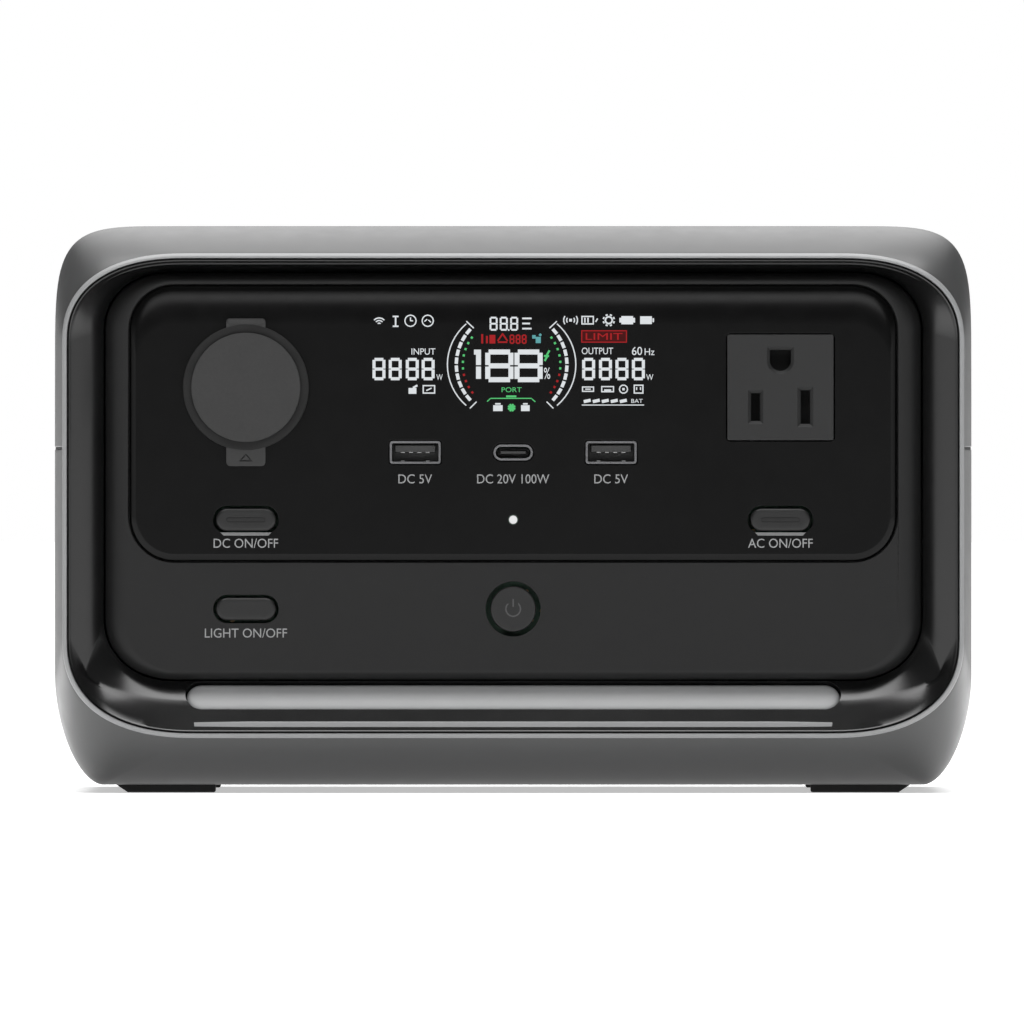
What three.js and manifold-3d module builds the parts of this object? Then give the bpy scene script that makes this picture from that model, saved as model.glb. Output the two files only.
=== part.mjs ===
// A portable power station: a hollow two-part case with a recessed front panel, a rear carry handle,
// a lithium battery pack, an inverter and the sockets, buttons, covers and fan that go with them.
// Millimetres. X runs to the right, Y to the back and Z up. The front faces -Y and the feet stand on Z = 0.

import * as THREE from 'three';
import { mergeVertices } from 'three/addons/utils/BufferGeometryUtils.js';
import Module from 'manifold-3d';

const wasm = await Module();
wasm.setup();

// ---- Driving dimensions ----

const bodyWidth = 234.6;
const bodyHeight = 145;
const overallDepth = 232;
const handleReach = 46; // how far the handle stands behind the case
const footHeight = 2;
const wall = 2.4; // case wall
const seam = 0.5; // gap between the upper and the lower case half
const seamHeight = 88.1;
const gap = 0.3; // clearance between fixed neighbours
const slip = 0.4; // clearance round what pushes in or slides
const overshoot = 2; // how far a cutter runs past what it cuts

const noseLength = 24; // the case narrows over this length towards its front rim
const noseTopDrop = 7.2;
const noseBottomRise = 12.1;
const noseSideInset = 2.2;
const noseCurve = 1.7; // how late along its length the nose narrows
const rearRounding = 8;
const rearInset = 3;

const lipThickness = 1.7; // front lip of the bezel
const lipInset = 0.6; // the lip is this much smaller than the case rim
const lipWidth = 0.7;
const ringDepth = 9; // the bezel's face slopes back by this much
const ringSide = 9.2;
const ringTop = 3.3;
const ringBottom = 13.2;
const bezelLength = 15;

const panelSetback = 3.5; // flat panel face behind the lip
const pillowSide = 5.9;
const pillowTop = 2.3;
const pillowBottom = 2.4;
const panelWall = 3;
const panelLength = 15;

const plateThickness = 2;
const plateProud = 0.5;
const plateSideMargin = 0.4;
const plateTopMargin = 0.8;
const plateCorner = 11.4;

const lensHeight = 8; // along the sloping bezel face
const lensShare = 0.69; // how far up the bezel's slope the lens sits
const lensThickness = 3;
const lensInset = 21.2; // each end of the lens stops this far inside the bezel's inner edge

const socketRadius = 10.5; // 12 V socket bore
const socketWall = 2.6;
const socketDepth = 42;
const coverRadius = 16.1;
const coverThickness = 1.8;
const coverFaceRadius = 14;
const coverFaceHeight = 0.9;
const coverTabWidth = 10;
const coverTabReach = 4; // pull tab below the disc
const coverHingeReach = 1.5; // hinge tab above the disc
const coverPlugLength = 3;
const columnMargin = 13.6; // from the faceplate's side edge to the socket cover
// Shares of the height that the covers and buttons leave free on the panel.
const topShare = 0.184; // above the socket cover, and below the faceplate down to the light button
const coverShare = 0.218; // from the socket cover to the upper buttons
const plateShare = 0.153; // from the upper buttons to the faceplate's lower edge

const outletWidth = 27.2;
const outletHeight = 27;
const outletDepth = 14;
const groundHole = 5.4;
const groundHoleOffset = 6.9; // centre of the ground hole above the outlet's centre
const bladeSpacing = 12.7;
const bladeOffset = 5; // blade slots below the outlet's centre
const bladeWidth = 2.4;
const shortBlade = 7.1;
const longBlade = 8.6;

const usbWidth = 13;
const usbHeight = 5.8;
const usbDepth = 14;
const usbWall = 0.6;
const usbPitch = 25;
const usbCWidth = 10.1;
const usbCHeight = 4.1;
const usbRaise = 0.5; // middle of the USB row below the socket cover's disc
const usbTongueHeight = 1.9;
const usbCTongueHeight = 0.7;
const usbBlockDepth = 4; // moulded block at the back of a USB shell

const buttonWidth = 15.3;
const buttonHeight = 5.8;
const buttonSlotClearance = 0.7;
const buttonThickness = 4.2;
const buttonTravel = 1;
const powerRadius = 5.8;
const powerClearance = 1.2;
const statusRadius = 1.08;

const displayMargin = 14.1; // from the socket cover's edge to the display
const displayAboveUsb = 6;
const displayTopMargin = 4;
const displayThickness = 4.5;

const boardThickness = 1.6;
const boardCorner = 3;
const boardEdge = 6; // control board inside the panel's walls

const cellRadius = 16.5;
const cellLength = 140;
const cellSpacing = 1.2; // between neighbouring cells
const cellRows = [4, 3]; // cells in the lower and in the upper row
const holderThickness = 10;
const holderMargin = 1.6;
const packClearance = 2.5; // behind the control board
const packLift = 1; // above the case floor
const boardStandoff = 2; // battery board above the cells
const batteryBoardLength = 64;

const inverterStandoff = 5; // inverter board above the battery board
const inverterSideMargin = 8.9; // from the fan to the inverter board
const inverterSocketGap = 8; // behind the 12 V socket
const inverterRearGap = 4; // in front of the rear outlets
const finHeadroom = 16; // above the heatsink
const finThickness = 1.8;
const finPitch = 6;
const finCount = 7;
const finBase = 4;
const heatsinkMargin = 8;
const coreHalf = 20;
const coreLength = 34;
const coreHeight = 30;
const windingHalf = 14;
const windingLength = 50;
const windingHeight = 22;
const capacitorRadius = 11;
const capacitorLength = 28;
const capacitorPitch = 24;
const capacitorMargin = 25; // from the board's edge to the middle of the pair

const ventLength = 84;
const ventHeight = 40;
const ventThickness = 2;
const ventSlot = 3;
const ventPitch = 6.6;
const ventEdge = 4;
const ventRise = 53; // middle of the vents above the case's underside
const ventShift = 12; // middle of the vents behind the middle of the case

const fanSize = 60;
const fanThickness = 15;
const fanTipClearance = 0.9;
const fanBlades = 7;
const fanWallGap = 3;
const fanRim = 1.6; // frame left round the bore
const fanCorner = 3;
const fanStrut = 3;
const fanStrutDepth = 1.5;
const fanMountRadius = 12;
const fanMountDepth = 2.5;
const hubRadius = 11;
const hubRecess = 1.5;
const bladeChord = 9;
const bladePitch = 0.9; // radians
const bladeThickness = 1.4;

const rearPlateThickness = 3;
const rearRecess = 1;
const rearOutletPitch = 64;
const inletWidth = 27;
const inletHeight = 20;
const inletDepth = 17;
const inletPitch = 46;
const inletRow = 46;
const solarWidth = 22;
const solarHeight = 14;
const inletWall = 2;
const inletFloor = 4;
const inletPinEnd = 5.5; // the pins stop this far inside the rear face
const rearOutletRise = 46; // rear outlets above the row of inlets

const flapWidth = 88;
const flapHeight = 38;
const flapThickness = 2.4;
const knuckleRadius = 2;
const pinRadius = 0.8;
const lugWidth = 3;

const handleSideMargin = 17.3;
const handleHeight = 22;
const handleBar = 15;
const handleArm = 16;
const handleCorner = 26;
const handleDrop = 8; // handle's top below the top of the case
const gripWidth = 120;
const gripThickness = 2.4;

const footWidth = 25.4;
const footLength = 16;
const footSideMargin = 15.6;
const footChamfer = 3;
const footSink = 1;
const frontFootSetback = 4; // behind the nose
const rearFootSetback = 22; // middle of the rear feet in front of the case's back

const arcSteps = 6; // points round a quarter turn of an outline
const cornerSteps = 2; // half the number of facets in a rounded corner
const roundSegments = 32;
const smallSegments = 16;

// ---- Derived planes and outlines ----

const halfWidth = bodyWidth / 2;
const frontLip = -overallDepth / 2;
const caseFront = frontLip + lipThickness + gap;
const caseBack = overallDepth / 2 - handleReach;
const panelFace = frontLip + panelSetback;
const valley = frontLip + ringDepth;
const plateFace = panelFace - plateProud;
const plateBack = plateFace + plateThickness;

// An outline is half a width, a top, a bottom and the size and squareness of its corners.
const bodyOutline = {
  half: halfWidth,
  top: bodyHeight,
  bottom: footHeight,
  upper: { across: 37, up: 45, power: 5.6 },
  lower: { across: 12.3, up: 28, power: 1.8 },
};
const rimOutline = {
  half: halfWidth - noseSideInset,
  top: bodyHeight - noseTopDrop,
  bottom: footHeight + noseBottomRise,
  upper: { across: 31.5, up: 22.5, power: 2.35 },
  lower: { across: 34.5, up: 25.5, power: 2.4 },
};
const lipOutline = resized(rimOutline, -lipInset);
const ringOutline = resized(lipOutline, -lipWidth);
const mouthOutline = {
  half: ringOutline.half - ringSide,
  top: ringOutline.top - ringTop,
  bottom: ringOutline.bottom + ringBottom,
  upper: { across: 17, up: 15, power: 2.1 },
  lower: { across: 18, up: 16, power: 2.1 },
};
const blockOutline = resized(mouthOutline, -slip);
const faceOutline = {
  half: blockOutline.half - pillowSide,
  top: blockOutline.top - pillowTop,
  bottom: blockOutline.bottom + pillowBottom,
  upper: { across: 12, up: 12, power: 2 },
  lower: { across: 12, up: 12, power: 2 },
};

// ---- Derived rows and columns of the front panel ----

const plateHalf = faceOutline.half - plateSideMargin;
const plateTop = faceOutline.top - plateTopMargin;
const column = plateHalf - columnMargin - coverRadius;
const buttonSlotHeight = buttonHeight + 2 * buttonSlotClearance;
const coverHeight = 2 * coverRadius + coverTabReach + coverHingeReach;
// The height that the covers and buttons leave free is shared out between the rows.
const spareHeight = plateTop - faceOutline.bottom - coverHeight - 2 * buttonSlotHeight;
const coverTop = plateTop - spareHeight * topShare;
const socketRow = coverTop - coverHingeReach - coverRadius;
const coverBottom = coverTop - coverHeight;
const upperButtonRow = coverBottom - spareHeight * coverShare - buttonSlotHeight / 2;
const plateBottom = upperButtonRow - buttonSlotHeight / 2 - spareHeight * plateShare;
const lowerButtonRow = plateBottom - spareHeight * topShare - buttonSlotHeight / 2;
const usbRow = coverBottom + coverTabReach - usbRaise;
const displayBottom = usbRow + usbHeight / 2 + displayAboveUsb;
const displayTop = plateTop - displayTopMargin;
const displayWidth = 2 * (column - coverRadius - displayMargin);
const insideTop = bodyHeight - wall;
const insideBottom = footHeight + wall;

const controlBoardFront = panelFace + usbDepth + gap;
const controlBoardBack = controlBoardFront + boardThickness;
const rearFace = caseBack - rearRecess;
const rearInside = rearFace - rearPlateThickness;

const cellPitch = 2 * cellRadius + cellSpacing;
const packLength = (cellRows[0] - 1) * cellPitch + 2 * cellRadius;
const packFront = controlBoardBack + packClearance + holderMargin;
const rowRise = cellPitch * Math.sin(Math.PI / 3);
const packBottom = insideBottom + packLift + holderMargin;
const packTop = packBottom + 2 * cellRadius + rowRise + holderMargin;
const batteryBoardHeight = packTop + boardStandoff;
const inverterHeight = batteryBoardHeight + boardThickness + inverterStandoff;
const fanOutside = halfWidth - wall - fanWallGap;
const inverterHalf = fanOutside - fanThickness - inverterSideMargin;
const inverterFront = caseFront + socketDepth + inverterSocketGap;
const inverterBack = rearInside - outletDepth - inverterRearGap;
const ventRow = footHeight + ventRise;
const ventMiddle = (caseFront + caseBack) / 2 + ventShift;
const hingeHeight = inletRow + flapHeight / 2;
const rearOutletRow = inletRow + rearOutletRise;
const handleWidth = bodyWidth - 2 * handleSideMargin;
const handleTop = bodyHeight - handleDrop;
const handleBottom = handleTop - handleHeight;

// ---- Outlines and solids ----

function resized(outline, amount) {
  const corner = ({ across, up, power }) => ({ across: across + amount, up: up + amount, power });
  return {
    half: outline.half + amount,
    top: outline.top + amount,
    bottom: outline.bottom - amount,
    upper: corner(outline.upper),
    lower: corner(outline.lower),
  };
}

function blended(from, to, share) {
  const mix = (a, b) => a + (b - a) * share;
  const corner = (a, b) => ({
    across: mix(a.across, b.across),
    up: mix(a.up, b.up),
    power: mix(a.power, b.power),
  });
  return {
    half: mix(from.half, to.half),
    top: mix(from.top, to.top),
    bottom: mix(from.bottom, to.bottom),
    upper: corner(from.upper, to.upper),
    lower: corner(from.lower, to.lower),
  };
}

// The points of an outline as seen from the front, anticlockwise, with one superelliptic arc to a corner.
function outlinePoints(outline, steps = arcSteps) {
  const points = [];
  for (let corner = 0; corner < 4; corner++) {
    const right = corner === 0 || corner === 3;
    const upper = corner < 2;
    const { across, up, power } = upper ? outline.upper : outline.lower;
    for (let i = 0; i <= steps; i++) {
      const outward = corner % 2 === 0 ? i : steps - i;
      const angle = (outward / steps) * (Math.PI / 2);
      const dx = across * Math.max(Math.cos(angle), 0) ** (2 / power);
      const dz = up * Math.max(Math.sin(angle), 0) ** (2 / power);
      const x = outline.half - across + (outward === steps ? 0 : dx);
      const z = upper ? outline.top - up + dz : outline.bottom + up - dz;
      points.push(new THREE.Vector2(right ? x : -x, z));
    }
  }
  return points;
}

// A solid through outlines laid at depths, listed from the back to the front: an extruded disc with
// one step for each outline, whose rings are then laid on the outlines.
function lofted(sections, steps = arcSteps) {
  const count = 4 * (steps + 1);
  const disc = new THREE.Shape();
  for (let i = 0; i < count; i++) {
    const angle = (2 * Math.PI * i) / count;
    if (i === 0) disc.moveTo(Math.cos(angle), Math.sin(angle));
    else disc.lineTo(Math.cos(angle), Math.sin(angle));
  }
  const layers = sections.length - 1;
  const options = { depth: layers, steps: layers, bevelEnabled: false };
  const geometry = new THREE.ExtrudeGeometry(disc, options);
  const rings = sections.map(({ outline }) => outlinePoints(outline, steps));
  const position = geometry.attributes.position;
  for (let i = 0; i < position.count; i++) {
    const turn = Math.atan2(position.getY(i), position.getX(i)) / (2 * Math.PI);
    const index = (Math.round(turn * count) + count) % count;
    const layer = Math.round(position.getZ(i));
    const point = rings[layer][index];
    position.setXYZ(i, point.x, sections[layer].y, point.y);
  }
  return geometry;
}

function rectangle(width, height, radius = 0, x = 0, z = 0) {
  const shape = new THREE.Shape();
  const w = width / 2;
  const h = height / 2;
  if (radius === 0) {
    shape.setFromPoints([[-w, -h], [w, -h], [w, h], [-w, h]].map(([u, v]) => new THREE.Vector2(x + u, z + v)));
    return shape;
  }
  const r = Math.min(radius, w, h);
  shape.absarc(x + w - r, z + h - r, r, 0, Math.PI / 2);
  shape.absarc(x - w + r, z + h - r, r, Math.PI / 2, Math.PI);
  shape.absarc(x - w + r, z - h + r, r, Math.PI, Math.PI * 1.5);
  shape.absarc(x + w - r, z - h + r, r, Math.PI * 1.5, Math.PI * 2);
  return shape;
}

function circle(radius, x = 0, z = 0, segments = roundSegments) {
  const points = [];
  for (let i = 0; i < segments; i++) {
    const angle = (2 * Math.PI * i) / segments;
    points.push(new THREE.Vector2(x + radius * Math.cos(angle), z + radius * Math.sin(angle)));
  }
  return new THREE.Shape(points);
}

// A plate drawn as seen from the front, from `front` back to `back`.
function plate(shape, front, back, curveSegments = cornerSteps) {
  const options = { depth: back - front, bevelEnabled: false, curveSegments };
  const geometry = new THREE.ExtrudeGeometry(shape, options);
  geometry.rotateX(Math.PI / 2);
  geometry.translate(0, back, 0);
  return geometry;
}

// A plate drawn in X and Y, from `bottom` up to `top`.
function slab(shape, bottom, top, curveSegments = cornerSteps) {
  const options = { depth: top - bottom, bevelEnabled: false, curveSegments };
  const geometry = new THREE.ExtrudeGeometry(shape, options);
  geometry.translate(0, 0, bottom);
  return geometry;
}

function box(x0, x1, y0, y1, z0, z1) {
  const geometry = new THREE.BoxGeometry(x1 - x0, y1 - y0, z1 - z0);
  geometry.translate((x0 + x1) / 2, (y0 + y1) / 2, (z0 + z1) / 2);
  return geometry;
}

// A round piece about a line along Y: [radius, y] pairs of a closed profile, from the front to the back.
function turned(profile, segments = roundSegments) {
  const points = profile.map(([radius, y]) => new THREE.Vector2(radius, y));
  return new THREE.LatheGeometry(points, segments);
}

function solid(geometry) {
  const bare = new THREE.BufferGeometry();
  const source = geometry.index ? geometry.toNonIndexed() : geometry;
  bare.setAttribute('position', source.getAttribute('position'));
  const merged = mergeVertices(bare, 1e-3);
  const made = new wasm.Manifold(new wasm.Mesh({
    numProp: 3,
    vertProperties: merged.attributes.position.array,
    triVerts: new Uint32Array(merged.index.array),
  }));
  return made;
}

function cut(geometry, ...cutters) {
  return cutters.reduce((left, cutter) => left.subtract(solid(cutter)), solid(geometry));
}

function joined(...geometries) {
  return geometries.slice(1).reduce((all, next) => all.add(solid(next)), solid(geometries[0]));
}

function geometryOf(manifold) {
  const mesh = manifold.getMesh();
  const position = new Float32Array(mesh.numVert * 3);
  for (let i = 0; i < mesh.numVert; i++) {
    const start = i * mesh.numProp;
    position.set(mesh.vertProperties.subarray(start, start + 3), i * 3);
  }
  const geometry = new THREE.BufferGeometry();
  geometry.setAttribute('position', new THREE.BufferAttribute(position, 3));
  geometry.setIndex(new THREE.BufferAttribute(new Uint32Array(mesh.triVerts), 1));
  const flat = geometry.toNonIndexed();
  flat.computeVertexNormals();
  return flat;
}

// ---- The assembly and its looks ----

const station = new THREE.Group();

const looks = {
  caseGrey: { color: 0x4b4c4e, roughness: 0.55, metalness: 0 },
  satinBlack: { color: 0x1b1b1c, roughness: 0.35, metalness: 0 },
  glossBlack: { color: 0x0c0c0d, roughness: 0.12, metalness: 0 },
  keyGrey: { color: 0x3a3a3b, roughness: 0.6, metalness: 0 },
  softRubber: { color: 0x3f3f40, roughness: 0.8, metalness: 0 },
  lensWhite: { color: 0xc8c8c8, roughness: 0.45, metalness: 0 },
  lightWhite: { color: 0xffffff, roughness: 0.4, metalness: 0 },
  steel: { color: 0xb4b6b8, roughness: 0.35, metalness: 1 },
  brass: { color: 0xc9a55b, roughness: 0.35, metalness: 1 },
  aluminium: { color: 0xb9bbbd, roughness: 0.45, metalness: 1 },
  boardGreen: { color: 0x17492f, roughness: 0.5, metalness: 0 },
  cellBlue: { color: 0x2b5fa8, roughness: 0.4, metalness: 0 },
  holderBlack: { color: 0x202224, roughness: 0.7, metalness: 0 },
  fanBlack: { color: 0x161617, roughness: 0.6, metalness: 0 },
};

function piece(name, source, look, parent = station) {
  const geometry = source.isBufferGeometry ? source : geometryOf(source);
  const mesh = new THREE.Mesh(geometry, new THREE.MeshStandardMaterial(looks[look]));
  mesh.name = name;
  parent.add(mesh);
  return mesh;
}

const sides = [['left', -1], ['right', 1]];

// The case as one tube, `inset` inside its outer surface, running `past` beyond both ends.
function caseTube(inset, past) {
  const rearEnd = resized(bodyOutline, -rearInset);
  const sections = [];
  const rearSteps = 2;
  const noseSteps = 5;
  if (past > 0) sections.push({ y: caseBack + past, outline: rearEnd });
  for (let i = 0; i <= rearSteps; i++) {
    const share = 1 - i / rearSteps;
    sections.push({
      y: caseBack - rearRounding * (1 - share),
      outline: blended(bodyOutline, rearEnd, share ** 2),
    });
  }
  for (let i = 0; i <= noseSteps; i++) {
    const share = i / noseSteps;
    sections.push({
      y: caseFront + noseLength * (1 - share),
      outline: blended(bodyOutline, rimOutline, share ** noseCurve),
    });
  }
  if (past > 0) sections.push({ y: caseFront - past, outline: rimOutline });
  return lofted(sections.map(({ y, outline }) => ({ y, outline: resized(outline, -inset) })));
}

function ventShape(clearance) {
  return [
    ventMiddle - ventLength / 2 - clearance,
    ventMiddle + ventLength / 2 + clearance,
    ventRow - ventHeight / 2 - clearance,
    ventRow + ventHeight / 2 + clearance,
  ];
}

const footMiddles = {
  front: caseFront + noseLength + footLength / 2 + frontFootSetback,
  rear: caseBack - rearFootSetback,
};
const footInner = halfWidth - footSideMargin - footWidth;

function addCase() {
  const shell = cut(caseTube(0, 0), caseTube(wall, overshoot));
  const far = bodyWidth;
  const above = box(-far, far, -far, far, seamHeight + seam / 2, far);
  const below = box(-far, far, -far, far, -far, seamHeight - seam / 2);
  piece('upper_shell', shell.intersect(solid(above)), 'caseGrey');

  let lower = shell.intersect(solid(below));
  for (const [, side] of sides) {
    const reach = [side * (halfWidth - 3 * wall), side * (halfWidth + overshoot)].sort((a, b) => a - b);
    lower = lower.subtract(solid(box(...reach, ...ventShape(gap))));
    for (const middle of Object.values(footMiddles)) {
      const across = [side * (footInner - gap), side * (footInner + footWidth + gap)].sort((a, b) => a - b);
      const along = [middle - footLength / 2 - gap, middle + footLength / 2 + gap];
      lower = lower.subtract(solid(box(...across, ...along, 0, footHeight + footSink + gap)));
    }
  }
  piece('lower_shell', lower, 'caseGrey');
}

function addFeet() {
  for (const [end, middle] of Object.entries(footMiddles)) {
    for (const [sideName, side] of sides) {
      const profile = [
        [footInner, 0],
        [footInner + footWidth - footChamfer, 0],
        [footInner + footWidth, footHeight],
        [footInner + footWidth, footHeight + footSink],
        [footInner, footHeight + footSink],
      ].map(([x, z]) => new THREE.Vector2(side * x, z));
      const shape = new THREE.Shape(profile);
      const foot = plate(shape, middle - footLength / 2, middle + footLength / 2);
      piece(`foot_${end}_${sideName}`, foot, 'softRubber');
    }
  }
}

// ---- Bezel, light bar and panel ----

const slopeRise = mouthOutline.bottom - ringOutline.bottom;
const slopeAngle = Math.atan2(ringDepth, slopeRise);
const lensMiddle = ringOutline.bottom + slopeRise * lensShare;
const lensHalf = mouthOutline.half - lensInset;

// Everything of the light bar is drawn upright at the middle of the lens and leans back with the bezel.
function leaned(geometry) {
  geometry.rotateX(-slopeAngle);
  geometry.translate(0, frontLip + ringDepth * lensShare, lensMiddle);
  return geometry;
}

function addBezel() {
  const plug = resized(rimOutline, -wall - slip);
  const flange = lofted([
    { y: frontLip + lipThickness, outline: lipOutline },
    { y: frontLip, outline: lipOutline },
  ]);
  const barrel = lofted([
    { y: frontLip + bezelLength, outline: plug },
    { y: frontLip + lipThickness / 2, outline: plug },
  ]);
  const funnel = lofted([
    { y: valley, outline: mouthOutline },
    { y: frontLip, outline: ringOutline },
    { y: frontLip - overshoot, outline: ringOutline },
  ]);
  const mouth = lofted([
    { y: frontLip + bezelLength + overshoot, outline: mouthOutline },
    { y: valley - gap, outline: mouthOutline },
  ]);
  const slot = rectangle(2 * (lensHalf + gap), lensHeight + 2 * gap, lensHeight);
  const lensSlot = leaned(plate(slot, -overshoot, bezelLength));
  const ring = joined(flange, barrel).subtract(solid(funnel)).subtract(solid(mouth));
  piece('front_bezel', ring.subtract(solid(lensSlot)), 'satinBlack');
}

function addLightBar() {
  const lens = rectangle(2 * lensHalf, lensHeight, lensHeight);
  piece('light_bar_lens', leaned(plate(lens, 0, lensThickness)), 'lensWhite');
  const back = lensThickness + gap;
  const board = rectangle(2 * lensHalf - lensHeight, lensHeight - 2 * gap, 0);
  piece('light_bar_board', leaned(plate(board, back, back + boardThickness)), 'lightWhite');
}

function slotShape(x, z) {
  return rectangle(buttonWidth + 2 * buttonSlotClearance, buttonSlotHeight, buttonSlotHeight, x, z);
}

function outletOpening(x, z) {
  return rectangle(outletWidth + 2 * gap, outletHeight + 2 * gap, 1, x, z);
}

function usbOpenings() {
  return [
    rectangle(usbWidth + 2 * gap, usbHeight + 2 * gap, 0, -usbPitch, usbRow),
    rectangle(usbCWidth + 2 * gap, usbCHeight + 2 * gap, usbCHeight, 0, usbRow),
    rectangle(usbWidth + 2 * gap, usbHeight + 2 * gap, 0, usbPitch, usbRow),
  ];
}

// What passes through both the faceplate and the panel behind it.
function upperOpenings() {
  return [
    circle(socketRadius + socketWall + gap, -column, socketRow),
    outletOpening(column, socketRow),
    ...usbOpenings(),
    slotShape(-column, upperButtonRow),
    slotShape(column, upperButtonRow),
    circle(statusRadius + gap, 0, upperButtonRow),
  ];
}

function faceplateShape(clearance) {
  const middle = (plateTop + plateBottom) / 2;
  const width = 2 * (plateHalf + clearance);
  return rectangle(width, plateTop - plateBottom + 2 * clearance, plateCorner, 0, middle);
}

function addPanel() {
  const steps = 3;
  const back = frontLip + panelLength;
  const sections = [{ y: back, outline: blockOutline }];
  for (let i = 0; i <= steps; i++) {
    const angle = (i / steps) * (Math.PI / 2);
    sections.push({
      y: valley + (panelFace - valley) * Math.sin(angle),
      outline: blended(blockOutline, faceOutline, 1 - Math.cos(angle)),
    });
  }
  const hollow = lofted([
    { y: back + overshoot, outline: resized(blockOutline, -panelWall) },
    { y: valley, outline: resized(blockOutline, -panelWall) },
    { y: panelFace + panelWall, outline: resized(faceOutline, -panelWall) },
  ]);
  const pocket = plate(faceplateShape(gap), panelFace - overshoot, plateBack + gap);
  const through = [...upperOpenings()];
  through.push(slotShape(-column, lowerButtonRow));
  through.push(circle(powerRadius + powerClearance, 0, lowerButtonRow));
  through.push(rectangle(displayWidth + 2 * gap, displayTop - displayBottom + 2 * gap, 0, 0,
    (displayTop + displayBottom) / 2));
  const cutters = through.map((shape) => plate(shape, panelFace - overshoot, valley + overshoot));
  piece('front_panel', cut(lofted(sections), hollow, pocket, ...cutters), 'keyGrey');

  const faceCutters = upperOpenings().map((shape) => plate(shape, plateFace - overshoot, plateBack + overshoot));
  piece('faceplate', cut(plate(faceplateShape(0), plateFace, plateBack), ...faceCutters), 'glossBlack');
}

function addDisplay() {
  const middle = (displayTop + displayBottom) / 2;
  const shape = rectangle(displayWidth, displayTop - displayBottom, 0, 0, middle);
  piece('display_module', plate(shape, plateBack + gap, plateBack + gap + displayThickness), 'glossBlack');
}

// ---- Front ports ----

function addCarSocket() {
  const outer = socketRadius + socketWall;
  const front = plateFace + gap;
  const back = front + socketDepth;
  const barrel = turned([
    [socketRadius, front],
    [outer, front],
    [outer, back],
    [3 + gap, back],
    [3 + gap, back - socketWall],
    [socketRadius, back - socketWall],
    [socketRadius, front],
  ], roundSegments);
  barrel.translate(-column, 0, socketRow);
  piece('car_socket_barrel', barrel, 'steel');

  const contact = turned([[0, back - 9], [3, back - 7], [3, back + 4], [0, back + 4]], smallSegments);
  contact.translate(-column, 0, socketRow);
  piece('car_socket_contact', contact, 'brass');
}

const coverBack = plateFace - gap;
const coverFront = coverBack - coverThickness;

function addCarPortCover() {
  const disc = plate(circle(coverRadius), coverFront, coverBack);
  const raised = plate(circle(coverFaceRadius), coverFront - coverFaceHeight, coverFront + gap);
  const tabBottom = -coverRadius - coverTabReach;
  const hingeLine = coverRadius + coverHingeReach - coverThickness / 2;
  const tabs = rectangle(coverTabWidth, hingeLine - tabBottom, 0.9, 0, (hingeLine + tabBottom) / 2);
  const strap = plate(tabs, coverFront, coverBack);
  const roll = new THREE.CylinderGeometry(coverThickness / 2, coverThickness / 2, coverTabWidth, smallSegments);
  roll.rotateZ(Math.PI / 2);
  roll.translate(0, (coverFront + coverBack) / 2, hingeLine);
  const plugOuter = socketRadius - slip;
  const plug = turned([
    [plugOuter - 2, coverBack - gap],
    [plugOuter, coverBack - gap],
    [plugOuter, coverBack + coverPlugLength],
    [plugOuter - 2, coverBack + coverPlugLength],
    [plugOuter - 2, coverBack - gap],
  ]);
  const cover = joined(disc, raised, strap, roll, plug).translate(-column, 0, socketRow);
  piece('car_port_cover', cover, 'softRubber');
}

// A hole with a flat top and a round bottom.
function groundShape(x, z) {
  const shape = new THREE.Shape();
  const r = groundHole / 2;
  shape.moveTo(x + r, z);
  shape.lineTo(x + r, z + r);
  shape.lineTo(x - r, z + r);
  shape.lineTo(x - r, z);
  shape.absarc(x, z, r, Math.PI, 2 * Math.PI);
  return shape;
}

function outletShape() {
  const shape = rectangle(outletWidth, outletHeight, 0.8);
  shape.holes.push(groundShape(0, groundHoleOffset));
  shape.holes.push(rectangle(bladeWidth, shortBlade, 0, -bladeSpacing / 2, -bladeOffset));
  shape.holes.push(rectangle(bladeWidth, longBlade, 0, bladeSpacing / 2, -bladeOffset));
  return shape;
}

// A spring contact bent to a U that opens to the front.
function contactShape(width, depth) {
  const metal = 0.6;
  const w = width / 2;
  const outline = [[-w, 0], [w, 0], [w, depth], [w - metal, depth], [w - metal, metal], [-w + metal, metal],
    [-w + metal, depth], [-w, depth]];
  return new THREE.Shape(outline.map(([x, y]) => new THREE.Vector2(x, y)));
}

function addFrontOutlet() {
  const front = plateFace - gap;
  const body = plate(outletShape(), front, front + outletDepth, 2 * cornerSteps);
  body.translate(column, 0, socketRow);
  piece('ac_outlet_front', body, 'keyGrey');

  const contactDepth = 9;
  const contacts = [
    ['outlet_neutral_contact', -bladeSpacing / 2, -bladeOffset, bladeWidth + 2, shortBlade],
    ['outlet_line_contact', bladeSpacing / 2, -bladeOffset, bladeWidth + 2, longBlade],
    ['outlet_ground_contact', 0, groundHoleOffset, groundHole + 1.6, 5],
  ];
  for (const [name, x, z, width, height] of contacts) {
    const contact = slab(contactShape(width, contactDepth), -height / 2, height / 2);
    contact.rotateZ(Math.PI);
    contact.translate(column + x, front + outletDepth + gap + contactDepth, socketRow + z);
    piece(name, contact, 'brass');
  }
}

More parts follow.
